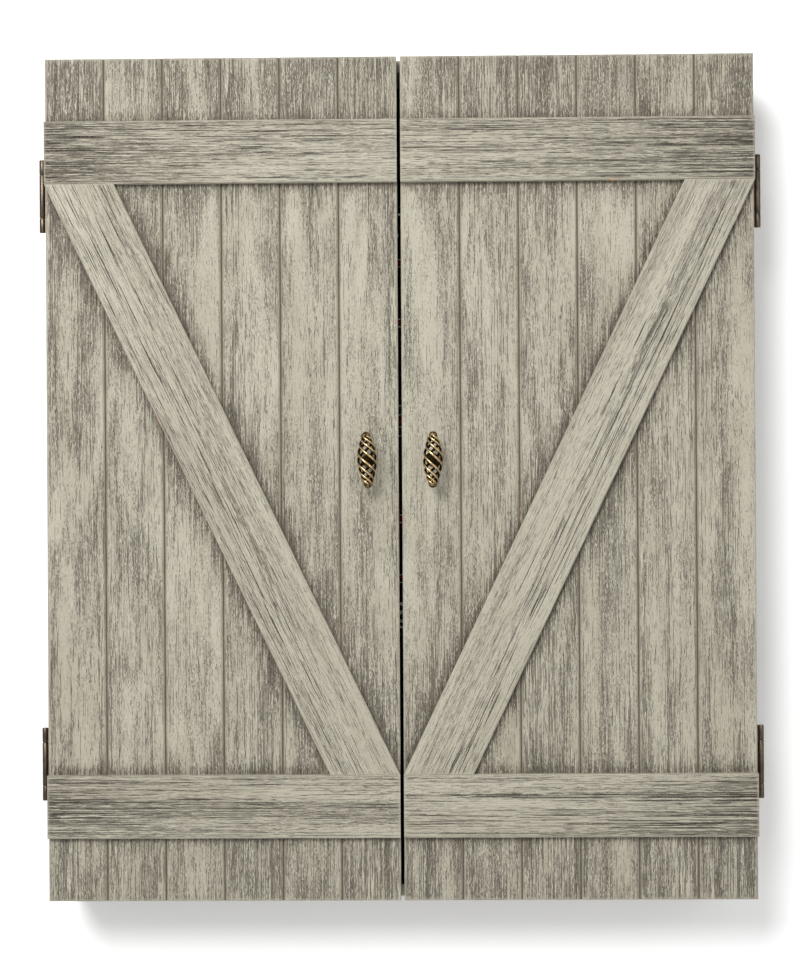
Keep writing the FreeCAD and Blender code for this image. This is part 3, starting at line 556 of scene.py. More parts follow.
class Shape:
    """Points and faces of one piece, gathered from grids, and each face's material where they differ."""

    def __init__(self):
        self.points = []
        self.faces = []
        self.finishes = []
        self.count = 0

    def grid(self, rows):
        """Quads between rows of points, closed round each row and capped at both ends."""
        rows = np.asarray(rows, float)
        number, around = rows.shape[:2]
        near = self.count + np.arange(number * around).reshape(number, around)
        far = np.roll(near, -1, axis=1)
        self.points.append(rows.reshape(-1, 3))
        self.count += number * around
        quads = np.stack([near[:-1], far[:-1], far[1:], near[1:]], axis=-1).reshape(-1, 4).tolist()
        self.faces += [*quads, near[0][::-1].tolist(), near[-1].tolist()]
        return self

    def lathe(self, profile, centre, axis, sides):
        """Turned form: profile points are (radius, distance along the axis)."""
        turn = Vector((0, 0, 1)).rotation_difference(Vector(axis)).to_matrix()
        around = np.linspace(0, 2 * math.pi, sides, endpoint=False)
        rows = []
        for radius, along in profile:
            ring = np.stack([radius * np.cos(around), radius * np.sin(around), np.full(sides, along)], axis=1)
            rows.append(ring @ np.array(turn).T + np.array(centre))
        return self.grid(rows)

    def tube(self, path, radius, sides):
        """Round wire along a path, without twist."""
        path = np.asarray(path, float)
        ahead = np.gradient(path, axis=0)
        ahead /= np.linalg.norm(ahead, axis=1)[:, None]
        side = np.cross(ahead[0], (0.3, 0.5, 0.8))
        around = np.linspace(0, 2 * math.pi, sides, endpoint=False)[:, None]
        rows = []
        for point, forward in zip(path, ahead):
            side = side - forward * (side @ forward)
            side /= np.linalg.norm(side)
            rows.append(point + radius * (np.cos(around) * side + np.sin(around) * np.cross(forward, side)))
        return self.grid(rows)

    def plate(self, outline, low, high, bevel=0.0003):
        """Flat plate in XZ between two depths, with eased edges."""
        outline = np.asarray(outline, float)
        before = outline - np.roll(outline, 1, axis=0)
        after = np.roll(outline, -1, axis=0) - outline
        x, z = outline.T
        area = np.sum(x * np.roll(z, -1) - np.roll(x, -1) * z)
        normals = [np.stack([-v[:, 1], v[:, 0]], axis=1) / np.linalg.norm(v, axis=1)[:, None]
                   for v in (before, after)]
        inner = outline + math.copysign(bevel, area) * (normals[0] + normals[1])
        levels = ((inner, low), (outline, low + bevel), (outline, high - bevel), (inner, high))
        return self.grid([np.insert(ring, 1, depth, axis=1) for ring, depth in levels])


def new_object(name, data):
    """Object in the scene for a mesh, a text, a light or a camera."""
    made = bpy.data.objects.new(name, data)
    bpy.context.scene.collection.objects.link(made)
    return made


def add_piece(name, shape, materials, body, nodes, attributes=()):
    """Turns a shape into a named piece that rides on a body and stands for CAD nodes."""
    mesh = bpy.data.meshes.new(name)
    mesh.from_pydata(np.concatenate(shape.points).tolist(), [], shape.faces)
    edit = bmesh.new()
    edit.from_mesh(mesh)
    bmesh.ops.recalc_face_normals(edit, faces=edit.faces)
    edit.to_mesh(mesh)
    edit.free()
    for material in materials:
        mesh.materials.append(bpy.data.materials[material])
    if shape.finishes:
        mesh.polygons.foreach_set("material_index", shape.finishes)
    mesh.polygons.foreach_set("use_smooth", [True] * len(mesh.polygons))
    mesh.set_sharp_from_angle(angle=SHARP_PIECE)
    for label, values in dict(attributes).items():
        layer = mesh.attributes.new(label, "FLOAT_VECTOR", "POINT")
        layer.data.foreach_set("vector", np.asarray(values, np.float32).ravel())
    piece = new_object(name, mesh)
    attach(piece, body)
    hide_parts(*nodes)


def finish_node(name, material, smooth=False):
    """A CAD node shown as it is, with its own material."""
    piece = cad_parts[name]
    piece.data.materials.clear()
    piece.data.materials.append(bpy.data.materials[material])
    if smooth:
        piece.data.polygons.foreach_set("use_smooth", [True] * len(piece.data.polygons))
        piece.data.set_sharp_from_angle(angle=SHARP_NODE)


def ripple(seed, pitch, *coordinates, waves=7):
    """Smooth irregular value between about -1 and 1, from sine waves in random directions."""
    draw = np.random.default_rng(seed)
    total = 0.0
    for _ in range(waves):
        heading = draw.normal(size=len(coordinates))
        heading /= np.linalg.norm(heading)
        run = sum(share * np.asarray(c) for share, c in zip(heading, coordinates))
        total = total + np.sin(2 * math.pi * run / (pitch * draw.uniform(0.6, 1.8)) + draw.uniform(0, 6.28))
    return total / math.sqrt(waves * 1.5)


class Board:
    """One worn board: a section carried along its length, with dips, wavy edges and paint attributes.

    The section's points are (across, out); out is measured from the board's back face. The axes are
    those across, along and out of the board, and the size is its width, thickness and length.
    """

    # Pitches of the waves in the two edges, and how far an edge wanders in parts of its easing.
    EDGE_PITCHES = (0.05, 0.034)
    SLACK = 0.35
    # Dips in the face: pitch across the board, pitch across against pitch along, and depth.
    DIPS = ((0.04, 0.22, 1.0), (0.011, 0.2, 0.6))
    # Depth of a groove against the tongue in it.
    ROOT = 1.08
    # Step and range of the grain's third coordinate, which sets the boards apart.
    GRAIN_STEP = 1.37
    GRAIN_RANGE = 50

    def __init__(self, paint, node, origin, axes, size, seed, shear=0.0, joints=(False, False), tongue=0.0):
        self.paint = paint
        self.node = node
        self.origin = np.array(origin, float)
        self.axes = [np.array(axis, float) for axis in axes]
        self.width, self.thick, self.reach = size
        self.seed, self.shear, self.joints, self.tongue = seed, shear, joints, tongue

    @classmethod
    def of_node(cls, paint, node, axes, seed, width=None, **joint):
        """Board that fills a CAD node's box, from the corner that its axes lead away from."""
        low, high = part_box(node)
        heading = axes[0] + axes[1] + axes[2]
        origin = [low[i] if heading[i] > 0 else high[i] for i in range(3)]
        across, along, out = (sum(abs(axis[i]) * (high[i] - low[i]) for i in range(3)) for axis in axes)
        return cls(paint, node, origin, axes, (width or across, out, along), seed, **joint)

    def section(self):
        """Closed section and the range of its points that lie on the front face."""
        width, thick = self.width, self.thick
        near, far = thick / 3, thick * 2 / 3
        grooved, tongued = self.joints
        left = self.paint.chamfer if grooved else self.paint.ease
        right = self.paint.chamfer if tongued else self.paint.ease
        points = [(0.0, 0.0), (width, 0.0)]
        if tongued:
            tip = width + self.tongue
            points += [(width, near), (tip, near), (tip, far), (width, far)]
        points.append((width, thick - right))
        first = len(points)
        steps = max(4, round((width - left - right) / self.paint.grid_across))
        points += [(a, thick) for a in np.linspace(width - right, left, steps + 1)]
        last = len(points)
        points.append((0.0, thick - left))
        if grooved:
            root = self.tongue * self.ROOT
            points += [(0.0, far), (root, far), (root, near), (0.0, near)]
        return np.array(points), first, last

    def build(self, glaze=None):
        """The board's shape and its two paint attributes."""
        points, first, last = self.section()
        ease = self.paint.ease
        steps = max(6, round(self.reach / self.paint.grid_along))
        runs = np.concatenate([[0.0, ease], np.linspace(0, self.reach, steps + 1)[1:-1],
                               [self.reach - ease, self.reach]])
        across, run = np.meshgrid(points[:, 0], runs)
        out = np.tile(points[:, 1], (len(runs), 1))
        front = np.zeros(len(points), bool)
        front[first:last] = True
        wave, waver = (ripple(self.seed + step, pitch, runs) for step, pitch in enumerate(self.EDGE_PITCHES))
        slack = self.SLACK * ease
        across[:, first] -= slack * (1 + np.clip(wave, -1, 1))
        across[:, last - 1] += slack * (1 + np.clip(waver, -1, 1))
        out[:, first - 1] -= slack * (1 + np.clip(waver, -1, 1))
        out[:, last] -= slack * (1 + np.clip(wave, -1, 1))
        dips = sum(share * ripple(self.seed + 2 + step, pitch, across, run * squash)
                   for step, (pitch, squash, share) in enumerate(self.DIPS))
        out[:, front] -= self.paint.relief * np.clip(0.5 + 0.5 * dips, 0, 1)[:, front]
        for row in (0, -1):
            out[row] = np.minimum(out[row], self.thick - ease * 0.8)
        side, forward, outward = self.axes
        far = (run + self.shear * across)[..., None]
        rows = self.origin + across[..., None] * side + far * forward + out[..., None] * outward
        apart = self.seed * self.GRAIN_STEP % self.GRAIN_RANGE
        grain = np.stack([across, far[..., 0], np.full_like(run, apart)], axis=-1)
        ends = np.minimum(run, self.reach - run)
        margin = np.minimum(np.minimum(across, self.width - across), ends)
        distance = np.where(front, np.maximum(margin - 0.5 * ease, 0), 0.0)
        grooved, tongued = self.joints
        depth = np.zeros_like(run)
        for jointed, index in ((tongued, first - 1), (grooved, last)):
            if jointed:
                depth[:, index] = self.paint.chamfer
        veil = glaze(rows) if glaze else np.zeros_like(run)
        # Edge distance, groove depth, and glaze that beside the rails and the brace is also painted shade.
        worn = np.stack([distance, depth, veil], axis=-1)
        return Shape().grid(rows), {"grain": grain, "worn": worn}

    def add(self, name, material, body, slot, glaze=None):
        """Adds the board as a named piece that stands for its CAD node."""
        shape, attributes = self.build(glaze)
        add_piece(name, shape, [material], body, [self.node], attributes)


# ---------------------------------------------------------------- shared places


def door_extent(name):
    """Lowest and highest corner of a door's planks."""
    boxes = [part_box(f"{name}_plank_{number}") for number in range(1, PLANKS + 1)]
    low = Vector([min(box[0][axis] for box in boxes) for axis in range(3)])
    high = Vector([max(box[1][axis] for box in boxes) for axis in range(3)])
    return low, high


def brace_lines(side, name):
    """Lower start, directions, sizes and slant of a door's brace."""
    low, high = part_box(f"{name}_brace")
    rail_low, rail_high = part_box(f"{name}_top_rail")
    width = rail_high.z - rail_low.z
    run, rise = high.x - low.x, high.z - low.z
    lean = math.acos(width / math.hypot(run, rise)) - math.atan(rise / run)
    level = width / math.cos(lean)
    drop = run - level
    reach = math.hypot(drop, rise)
    start = Vector((high.x - level if side < 0 else low.x, low.y, low.z))
    across = Vector((rise, 0, -side * drop)) / reach
    forward = Vector((side * drop, 0, rise)) / reach
    return Brace(start, across, forward, width, reach, side * drop / rise)


def glaze_near(axis, place, most, reach):
    """Darkening that fades away from one place along an axis: glaze, and beside the rails painted shade as
    well.
    """
    return lambda rows: most * np.exp(-np.abs(rows[..., axis] - place) / reach)


def islands(mesh):
    """Points of each separate part of a mesh."""
    edit = bmesh.new()
    edit.from_mesh(mesh)
    bmesh.ops.remove_doubles(edit, verts=edit.verts, dist=WELD)
    left = set(edit.verts)
    found = []
    while left:
        island, queue = [], [left.pop()]
        while queue:
            corner = queue.pop()
            island.append(corner.co.copy())
            others = {edge.other_vert(corner) for edge in corner.link_edges} & left
            left -= others
            queue += others
        found.append(np.array(island))
    edit.free()
    return found


def screw_places(node):
    """Head centre, driving direction, head radius and length of each screw in a CAD node."""
    places = []
    for points in islands(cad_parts[node].data):
        low, high = points.min(0), points.max(0)
        axis = int(np.argmax(high - low))
        cross = [i for i in range(3) if i != axis]
        middle = (low + high) / 2
        spans = []
        for end in (low[axis], high[axis]):
            near = points[np.abs(points[:, axis] - end) < 10 * WELD]
            spans.append(np.abs(near[:, cross] - middle[cross]).max())
        head = middle.copy()
        head[axis] = low[axis] if spans[0] > spans[1] else high[axis]
        towards = np.zeros(3)
        towards[axis] = 1.0 if spans[0] > spans[1] else -1.0
        places.append((Vector(head), Vector(towards), max(spans), float(high[axis] - low[axis])))
    return sorted(places, key=lambda place: tuple(round(c, 5) for c in place[0]))


def add_screws(node, body):
    """Countersunk screws with a cross recess, one for each screw in the CAD node."""
    shape = Shape()
    around = np.linspace(0, 2 * math.pi, SCREW_SIDES, endpoint=False)
    for number, (head, towards, radius, reach) in enumerate(screw_places(node)):
        turn = Vector((0, 0, 1)).rotation_difference(towards).to_matrix()
        spin = around + number * SCREW_SPIN
        rows = []
        for share, sink in SCREW_HEAD:
            x, y = share * radius * np.cos(around), share * radius * np.sin(around)
            recess = np.minimum(np.abs(x), np.abs(y)) < RECESS_HALF_WIDTH * radius
            dip = RECESS_DEPTH * radius * recess * (share < RECESS_REACH)
            rows.append((share, sink * radius + dip))
        rows += [(0.55, 0.44 * radius), (0.52, reach * 0.85), (0.08, reach)]
        shape.grid([np.stack([share * radius * np.cos(spin), share * radius * np.sin(spin),
                              np.broadcast_to(depth, spin.shape)], axis=1) @ np.array(turn).T + np.array(head)
                    for share, depth in rows])
    add_piece(node + "_crossheads", shape, ["Zinc plate"], body, [node])


# ---------------------------------------------------------------- operators


class CABINET_OT_finishes(bpy.types.Operator):
    """Make the node groups and every material"""

    bl_idname = "cabinet.finishes"
    bl_label = "Finishes"

    def execute(self, context):
        scene = context.scene
        paint, metal, board = scene.cabinet_paint, scene.cabinet_metal, scene.cabinet_board
        for make in (group_strokes, group_edges, group_mottle, group_fibres):
            make()
        for name, marks in PAINTS.items():
            painted_wood(name, paint, **marks)
        for name, grain in WOODS.items():
            raw_wood(name, **grain)
        for name, coat in COATS.items():
            plain_coat(name, **coat)
        plain_coat("Zinc plate", tuple(metal.steel), rough=0.28, scale=90.0, metallic=1.0, grit=0.00003)
        fibre_cloth("Black felt", (0.014, 0.014, 0.015), scale=900.0, lift=0.012, sheen=0.15)
        for name in SISAL:
            fibre_cloth(f"Sisal {name}", tuple(getattr(board, name)), scale=1500.0, lift=0.01, sheen=0.0)
        antique_brass("Antique brass", metal)
        brushed_bronze("Antique bronze", metal)
        chalkboard("Chalkboard")
        return {"FINISHED"}


class CABINET_OT_box(bpy.types.Operator):
    """Build the box: painted sides, top and bottom, raw back, liner and hanging rails"""

    bl_idname = "cabinet.box"
    bl_label = "Box"

    def execute(self, context):
        paint = context.scene.cabinet_paint
        for side, name in SIDES:
            board = Board.of_node(paint, f"{name}_side", (FRONT, UP, RIGHT * side), SEEDS["side"] + side)
            board.add(f"{name}_side_board", "Box paint", "cabinet", "box_wood")
        for level, name in LEVELS:
            board = Board.of_node(paint, f"{name}_board", (FRONT, RIGHT, UP * level), SEEDS["panel"] + level)
            board.add(f"{name}_panel", "Box paint", "cabinet", "box_wood")
            finish_node(f"{name}_hanging_rail", "Pine")
        finish_node("back_panel", "Back panel wood")
        finish_node("felt_liner", "Black felt")
        return {"FINISHED"}


class CABINET_OT_planks(bpy.types.Operator):
    """Build the six tongued and grooved planks of each door"""

    bl_idname = "cabinet.planks"
    bl_label = "Planks"

    # Glaze beside each rail, which also paints the rail's shade on the planks.
    RAIL_GLAZE = 0.9

    def execute(self, context):
        paint = context.scene.cabinet_paint
        for side, name in SIDES:
            door_low, door_high = door_extent(name)
            width = (door_high.x - door_low.x) / PLANKS
            low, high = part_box(f"{name}_plank_1")
            tongue = high.x - low.x - width
            glaze = self.glaze(paint, side, name)
            for number in range(1, PLANKS + 1):
                board = Board.of_node(paint, f"{name}_plank_{number}", (RIGHT, UP, FRONT),
                                      SEEDS[f"{name}_plank"] + number, width,
                                      joints=(number > 1, number < PLANKS), tongue=tongue)
                board.add(f"{name}_board_{number}", "Plank paint", f"{name}_door", "plank_paint", glaze)
        return {"FINISHED"}

    def glaze(self, paint, side, name):
        """Glaze left on a door's planks beside the rails and the brace, together with painted shade there, as
        a function of the place.
        """
        brace = brace_lines(side, name)
        bottom, top = (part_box(f"{name}_{word}_rail") for _, word in LEVELS)
        rails = [glaze_near(2, edge.z, self.RAIL_GLAZE, paint.rail_shade) for edge in (*bottom, *top)]

        def veil(rows):
            offset = (rows - np.array(brace.start)) @ np.array(brace.across)
            beside = np.maximum(np.maximum(-offset, offset - brace.width), 0)
            between = (rows[..., 2] > bottom[1].z) & (rows[..., 2] < top[0].z)
            # Painted shade and glaze fade away from the brace's sides; beyond the rails lies plain glaze.
            shade = np.where(between, np.exp(-beside / paint.brace_shade), paint.end_shade)
            for rail in rails:
                shade = np.maximum(shade, rail(rows))
            return shade

        return veil


class CABINET_OT_rails(bpy.types.Operator):
    """Build the rails and the diagonal brace of each door"""

    bl_idname = "cabinet.rails"
    bl_label = "Rails and braces"

    HINGE_GLAZE = 0.6

    def execute(self, context):
        paint = context.scene.cabinet_paint
        for side, name in SIDES:
            for level, word in LEVELS:
                node = f"{name}_{word}_rail"
                low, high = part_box(node)
                hinge_edge = low.x if side < 0 else high.x
                glaze = glaze_near(0, hinge_edge, self.HINGE_GLAZE, paint.hinge_shade)
                board = Board.of_node(paint, node, (UP, RIGHT, FRONT), SEEDS["rail"] + 3 * side + level)
                board.add(f"{node}_board", "Rail paint", f"{name}_door", "rail_paint", glaze)
            node = f"{name}_brace"
            low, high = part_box(node)
            brace = brace_lines(side, name)
            board = Board(paint, node, (brace.start.x, high.y, brace.start.z),
                          (brace.across, brace.forward, FRONT), (brace.width, high.y - low.y, brace.reach),
                          SEEDS["brace"] + side, brace.shear)
            board.add(f"{node}_board", "Rail paint", f"{name}_door", "rail_paint")
        return {"FINISHED"}


class CABINET_OT_hinges(bpy.types.Operator):
    """Build the leaves, rolled knuckles and pins of the four hinges"""

    bl_idname = "cabinet.hinges"
    bl_label = "Hinges"

    KNUCKLE_SIDES = 40
    PIN_SIDES = 24
    # Softening of a knuckle's ends in parts of its radius, and its bore against the pin.
    SOFTENING = 0.14
    BORE = 1.03

    def execute(self, context):
        metal = context.scene.cabinet_metal
        pins = Shape()
        for side, name in SIDES:
            for word in HINGES:
                self.hinge(metal, pins, side, name, word)
        add_piece("hinge_pin_rods", pins, ["Antique bronze"], "cabinet", ["hinge_pins"])
        return {"FINISHED"}

    def hinge(self, metal, pins, side, name, word):
        """Both leaves of one hinge; its pin joins the shape of all the pins."""
        inner_low, inner_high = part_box(f"{name}_{word}_frame_leaf")
        outer_low, outer_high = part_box(f"{name}_{word}_door_leaf")
        low, high = inner_low.z, inner_high.z
        foot, tip = outer_low.z, outer_high.z
        radius = (inner_high.y - inner_low.y) / 2
        axis_x = inner_low.x + radius if side < 0 else inner_high.x - radius
        axis = Vector((axis_x, (inner_high.y + inner_low.y) / 2, 0))
        reach = inner_high.x - inner_low.x - radius
        deep = outer_high.x - outer_low.x - radius

        shape = self.rolled(Shape(), axis, low, high, radius, metal.pin)
        corners = ((0, low), (reach, low), (reach, high), (0, high))
        back = axis.y - metal.inner_set
        shape.plate(self.outline(axis_x, side, corners), back, back + metal.leaf)
        add_piece(f"{name}_{word}_inner_leaf", shape, ["Antique bronze"], "cabinet",
                  [f"{name}_{word}_frame_leaf"])

        low, high = low - metal.gap, high + metal.gap
        window = reach + 2 * metal.gap
        shape = self.rolled(Shape(), axis, foot, low, radius, metal.pin)
        self.rolled(shape, axis, high, tip, radius, metal.pin)
        corners = ((0, foot), (deep, foot), (deep, tip), (0, tip),
                   (0, high), (window, high), (window, low), (0, low))
        back = axis.y - metal.outer_set
        shape.plate(self.outline(axis_x, side, corners), back, back + metal.leaf)
        add_piece(f"{name}_{word}_outer_leaf", shape, ["Antique bronze"], f"{name}_door",
                  [f"{name}_{word}_door_leaf"])

        pin, tall = metal.pin, tip - foot
        ends = ((0.4 * pin, 0), (0.8 * pin, 0.12 * pin), (pin, 0.4 * pin))
        pins.lathe([*ends, *((r, tall - h) for r, h in reversed(ends))], axis + UP * foot, UP,
                   self.PIN_SIDES)

    @staticmethod
    def outline(axis_x, side, corners):
        """Outline from distances off the hinge axis towards the middle."""
        return [(axis_x - side * away, z) for away, z in corners]

    def rolled(self, shape, axis, low, high, radius, pin):
        """Knuckle with softened ends round the pin's bore."""
        soft = self.SOFTENING * radius
        tall = high - low
        ends = ((pin * self.BORE, soft), (radius - 1.6 * soft, 0.1 * soft),
                (radius - 0.5 * soft, 0.35 * soft), (radius, 1.3 * soft))
        return shape.lathe([*ends, *((r, tall - h) for r, h in reversed(ends))], axis + UP * low, UP,
                           self.KNUCKLE_SIDES)


class CABINET_OT_knobs(bpy.types.Operator):
    """Build the twisted wire knobs with their posts"""

    bl_idname = "cabinet.knobs"
    bl_label = "Knobs"

    # Turned post: radius in parts of the rose's, place in parts of the length, and how bright it is rubbed.
    # The post's dark end, inside the cage, is painted shade.
    POST = (
        (0.3, 0, 0.3), (1, 0, 0.7), (1, 0.05, 0.75), (0.93, 0.085, 0.6), (0.7, 0.1, 0.3), (0.55, 0.13, 0.15),
        (0.4386, 0.2, 0.15), (0.3774, 0.42, 0.2), (0.3978, 0.66, 0.2), (0.4794, 0.84, 0.1), (0.51, 0.93, 0),
        (0.408, 0.985, 0), (0.153, 1, 0),
    )
    POST_SIDES = 40
    WIRE_SIDES = 16
    CAP_SIDES = 36
    CAP_WEAR = 0.6

    def execute(self, context):
        metal = context.scene.cabinet_metal
        for _, name in SIDES:
            low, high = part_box(f"{name}_handle_cage")
            centre = (low + high) / 2
            self.cage(metal, name, centre, (high.z - low.z) / 2 - metal.cap)
            low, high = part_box(f"{name}_handle_post")
            rose, tall = (high.x - low.x) / 2, high.y - low.y
            profile = [(share * rose, along * tall) for share, along, _ in self.POST]
            foot = Vector((centre.x, high.y, (low.z + high.z) / 2))
            raised = np.repeat([wear_and_light for _, _, wear_and_light in self.POST], self.POST_SIDES)
            add_piece(f"{name}_knob_post", Shape().lathe(profile, foot, FRONT, self.POST_SIDES),
                      ["Antique brass"], f"{name}_door", [f"{name}_handle_post"],
                      {"raised": np.stack([raised] * 3, axis=1)})
        return {"FINISHED"}

    def cage(self, metal, name, centre, half):
        """Twisted wires between two domed caps, rubbed bright with a painted highlight on each wire's crest,
        patina and painted shade on the rest.
        """
        shape = Shape()
        crests = []
        for number in range(metal.strands):
            turned = 2 * math.pi * number / metal.strands - math.pi / 2 - getattr(metal, f"{name}_turn")
            path = self.strand(metal, turned, half + 0.2 * metal.wire)
            shape.tube(path, metal.wire / 2, self.WIRE_SIDES)
            rings = shape.points[-1].reshape(len(path), -1, 3) - path[:, None]
            away = path * (1, 1, 0) / np.linalg.norm(path[:, :2], axis=1)[:, None]
            crests.append(((rings @ away[:, :, None])[..., 0] / (metal.wire / 2)).ravel())
        collar = [(0.55 * metal.cap, -0.35 * metal.cap), (0.9 * metal.cap, -0.22 * metal.cap)]
        dome = [(metal.cap * math.cos(t), metal.cap * math.sin(t)) for t in np.linspace(0, 1.5, 9)]
        for end in (-1, 1):
            shape.lathe([(r, half + h) for r, h in collar + dome], Vector(), UP * end, self.CAP_SIDES)
        points = np.concatenate(shape.points)
        crests = np.concatenate(crests)
        raised = np.concatenate([crests, np.full(len(points) - len(crests), self.CAP_WEAR)])
        turn = np.array(Matrix.Rotation(getattr(metal, f"{name}_lean"), 3, "Y"))
        shape.points = [points @ turn.T + np.array(centre)]
        add_piece(f"{name}_knob_cage", shape, ["Antique brass"], f"{name}_door", [f"{name}_handle_cage"],
                  {"raised": np.stack([raised] * 3, axis=1)})

    @staticmethod
    def strand(metal, turned, half, steps=110):
        """Middle line of one wire, which climbs at a constant slope round a spindle."""
        widest = metal.cage_radius - metal.wire / 2
        heights = np.linspace(-half, half, steps + 1)
        radii = metal.neck + (widest - metal.neck) * np.abs(np.cos(math.pi / 2 * heights / half)) ** 0.9
        climb = np.diff(heights) / (metal.slope * radii[1:])
        angles = -np.concatenate([[0.0], np.cumsum(climb)])
        angles += turned - angles[steps // 2]
        return np.stack([radii * np.cos(angles), radii * np.sin(angles), heights], axis=1)


class CABINET_OT_fittings(bpy.types.Operator):
    """Build the screws and finish the catches, strike plates and the board's bracket"""

    bl_idname = "cabinet.fittings"
    bl_label = "Screws and fittings"

    def execute(self, context):
        add_screws("carcass_screws", "cabinet")
        add_screws("fitting_screws", "cabinet")
        for _, name in SIDES:
            add_screws(f"{name}_door_screws", f"{name}_door")
            finish_node(f"{name}_strike_plate", "Zinc plate")
        finish_node("catch_housings", "Black plastic")
        finish_node("catch_magnets", "Magnet")
        finish_node("board_bracket", "Powder coat")
        return {"FINISHED"}


class CABINET_OT_insides(bpy.types.Operator):
    """Finish the scoreboards and dart racks inside the doors"""

    bl_idname = "cabinet.insides"
    bl_label = "Scoreboards and racks"

    def execute(self, context):
        for _, name in SIDES:
            finish_node(f"{name}_scoreboard", "Chalkboard")
            finish_node(f"{name}_dart_rack", "Black plastic", smooth=True)
        return {"FINISHED"}


class CABINET_OT_dartboard(bpy.types.Operator):
    """Build the dart board's face, number ring and numerals, and finish its other parts"""

    bl_idname = "cabinet.dartboard"
    bl_label = "Dart board"

    # Radii of both bulls, of the trebles ring and of the doubles ring, and the beds' numbers clockwise.
    RINGS = (0.00635, 0.0159, 0.099, 0.107, 0.162, 0.170)
    NUMBERS = (20, 1, 18, 4, 13, 6, 10, 15, 2, 17, 3, 19, 7, 16, 8, 11, 14, 9, 12, 5)
    # Mesh steps in a bed, rounding of the face's rim, and radius of the mesh's end at the middle.
    STEPS = 6
    ROUNDING = 0.0006
    HUB = 0.0002
    BLACK, CREAM, RED, GREEN = range(len(SISAL))
    CLIPS = 6
    CLIP_SIDES = 16
    HOOP_SIDES = 10
    HOOP_POINTS = 181
    # Font size against the height of its figures.
    FONT_SIZE = 1.25

    def execute(self, context):
        board = context.scene.cabinet_board
        low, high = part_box("number_ring")
        face_low, face_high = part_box("board_face")
        centre = (face_low + face_high) / 2
        depth = low.y + board.ring_wire
        self.face()
        self.hoop(board, depth, centre.z, high.y)
        self.figures(board, depth, centre.z)
        for node, material, slot in (
            ("board_backing", "Chipboard", "board_core"), ("board_band", "Black steel strip", "band_steel"),
            ("board_spider", "Blade steel", "blade_steel"), ("hanging_screw", "Zinc plate", "screw_steel"),
            ("board_feet", "Foot rubber", "foot_rubber"),
        ):
            finish_node(node, material, smooth=True)
        return {"FINISHED"}

    def face(self):
        """Sisal disc whose beds are faces of their own colour."""
        low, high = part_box("board_face")
        centre = (low + high) / 2
        outer = (high.x - low.x) / 2
        around = self.STEPS * len(self.NUMBERS)
        turns = (np.arange(around) - self.STEPS / 2) * 2 * math.pi / around
        profile = [(radius, low.y) for radius in (self.HUB, *self.RINGS, outer - self.ROUNDING)]
        profile += [(outer, low.y + self.ROUNDING), (outer, high.y), (self.HUB, high.y)]
        rows = [np.stack([centre.x + radius * np.sin(turns), np.full(around, depth),
                          centre.z + radius * np.cos(turns)], axis=1) for radius, depth in profile]
        shape = Shape().grid(rows)
        finishes = []
        for ring in range(len(rows) - 1):
            for step in range(around):
                odd = step // self.STEPS % 2
                narrow = self.GREEN if odd else self.RED
                wide = self.CREAM if odd else self.BLACK
                beds = (self.RED, self.GREEN, wide, narrow, wide, narrow)
                finishes.append(beds[ring] if ring < len(beds) else self.BLACK)
        shape.finishes = finishes + [self.BLACK] * 2
        materials = [f"Sisal {name}" for name in SISAL]
        add_piece("sisal_face", shape, materials, "dartboard", ["board_face"])

    def hoop(self, board, depth, middle, back):
        """Wire hoop that carries the numerals, with its clips."""
        wire = board.ring_wire
        turns = np.linspace(0, 2 * math.pi, self.HOOP_POINTS)
        path = np.stack([board.ring * np.sin(turns), np.full(len(turns), depth),
                         middle + board.ring * np.cos(turns)], axis=1)
        shape = Shape().tube(path, wire, self.HOOP_SIDES)
        clip = [(0.6 * wire, 0), (wire, 0.3 * wire), (wire, 1.6 * wire), (0.6 * wire, 1.95 * wire)]
        for number in range(self.CLIPS):
            turn = 2 * math.pi * number / self.CLIPS + board.clip_turn
            foot = Vector(((board.ring + wire) * math.cos(turn), back,
                           middle + (board.ring + wire) * math.sin(turn)))
            shape.lathe(clip, foot, FRONT, self.CLIP_SIDES)
        add_piece("number_hoop", shape, ["Blade steel"], "dartboard", ["number_ring"])

    def figures(self, board, depth, middle):
        """Numerals inside the hoop; those below the middle stand upright too."""
        reach = board.ring - board.ring_wire - board.numeral * 0.52
        figures = []
        for index, number in enumerate(self.NUMBERS):
            turn = 2 * math.pi * index / len(self.NUMBERS)
            flip = math.pi if math.cos(turn) < -0.1 else 0.0
            text = bpy.data.curves.new(f"figure_{number}", "FONT")
            text.body = str(number)
            text.align_x = "CENTER"
            text.align_y = "CENTER"
            text.size = board.numeral * self.FONT_SIZE
            text.extrude = board.numeral_thick
            text.bevel_depth = board.numeral_bevel
            figure = new_object(f"figure_{number}", text)
            place = Matrix.Translation((reach * math.sin(turn), depth, middle + reach * math.cos(turn)))
            figure.matrix_world = (place @ Matrix.Rotation(turn + flip, 4, "Y")
                                   @ Matrix.Rotation(math.pi / 2, 4, "X"))
            figures.append(figure)
        bpy.context.view_layer.update()
        graph = bpy.context.evaluated_depsgraph_get()
        edit = bmesh.new()
        for figure in figures:
            mesh = bpy.data.meshes.new_from_object(figure.evaluated_get(graph))
            mesh.transform(figure.matrix_world)
            edit.from_mesh(mesh)
            bpy.data.meshes.remove(mesh)
            bpy.data.objects.remove(figure)
        mesh = bpy.data.meshes.new("number_figures")
        edit.to_mesh(mesh)
        edit.free()
        mesh.materials.append(bpy.data.materials["Blade steel"])
        piece = new_object("number_figures", mesh)
        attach(piece, "dartboard")


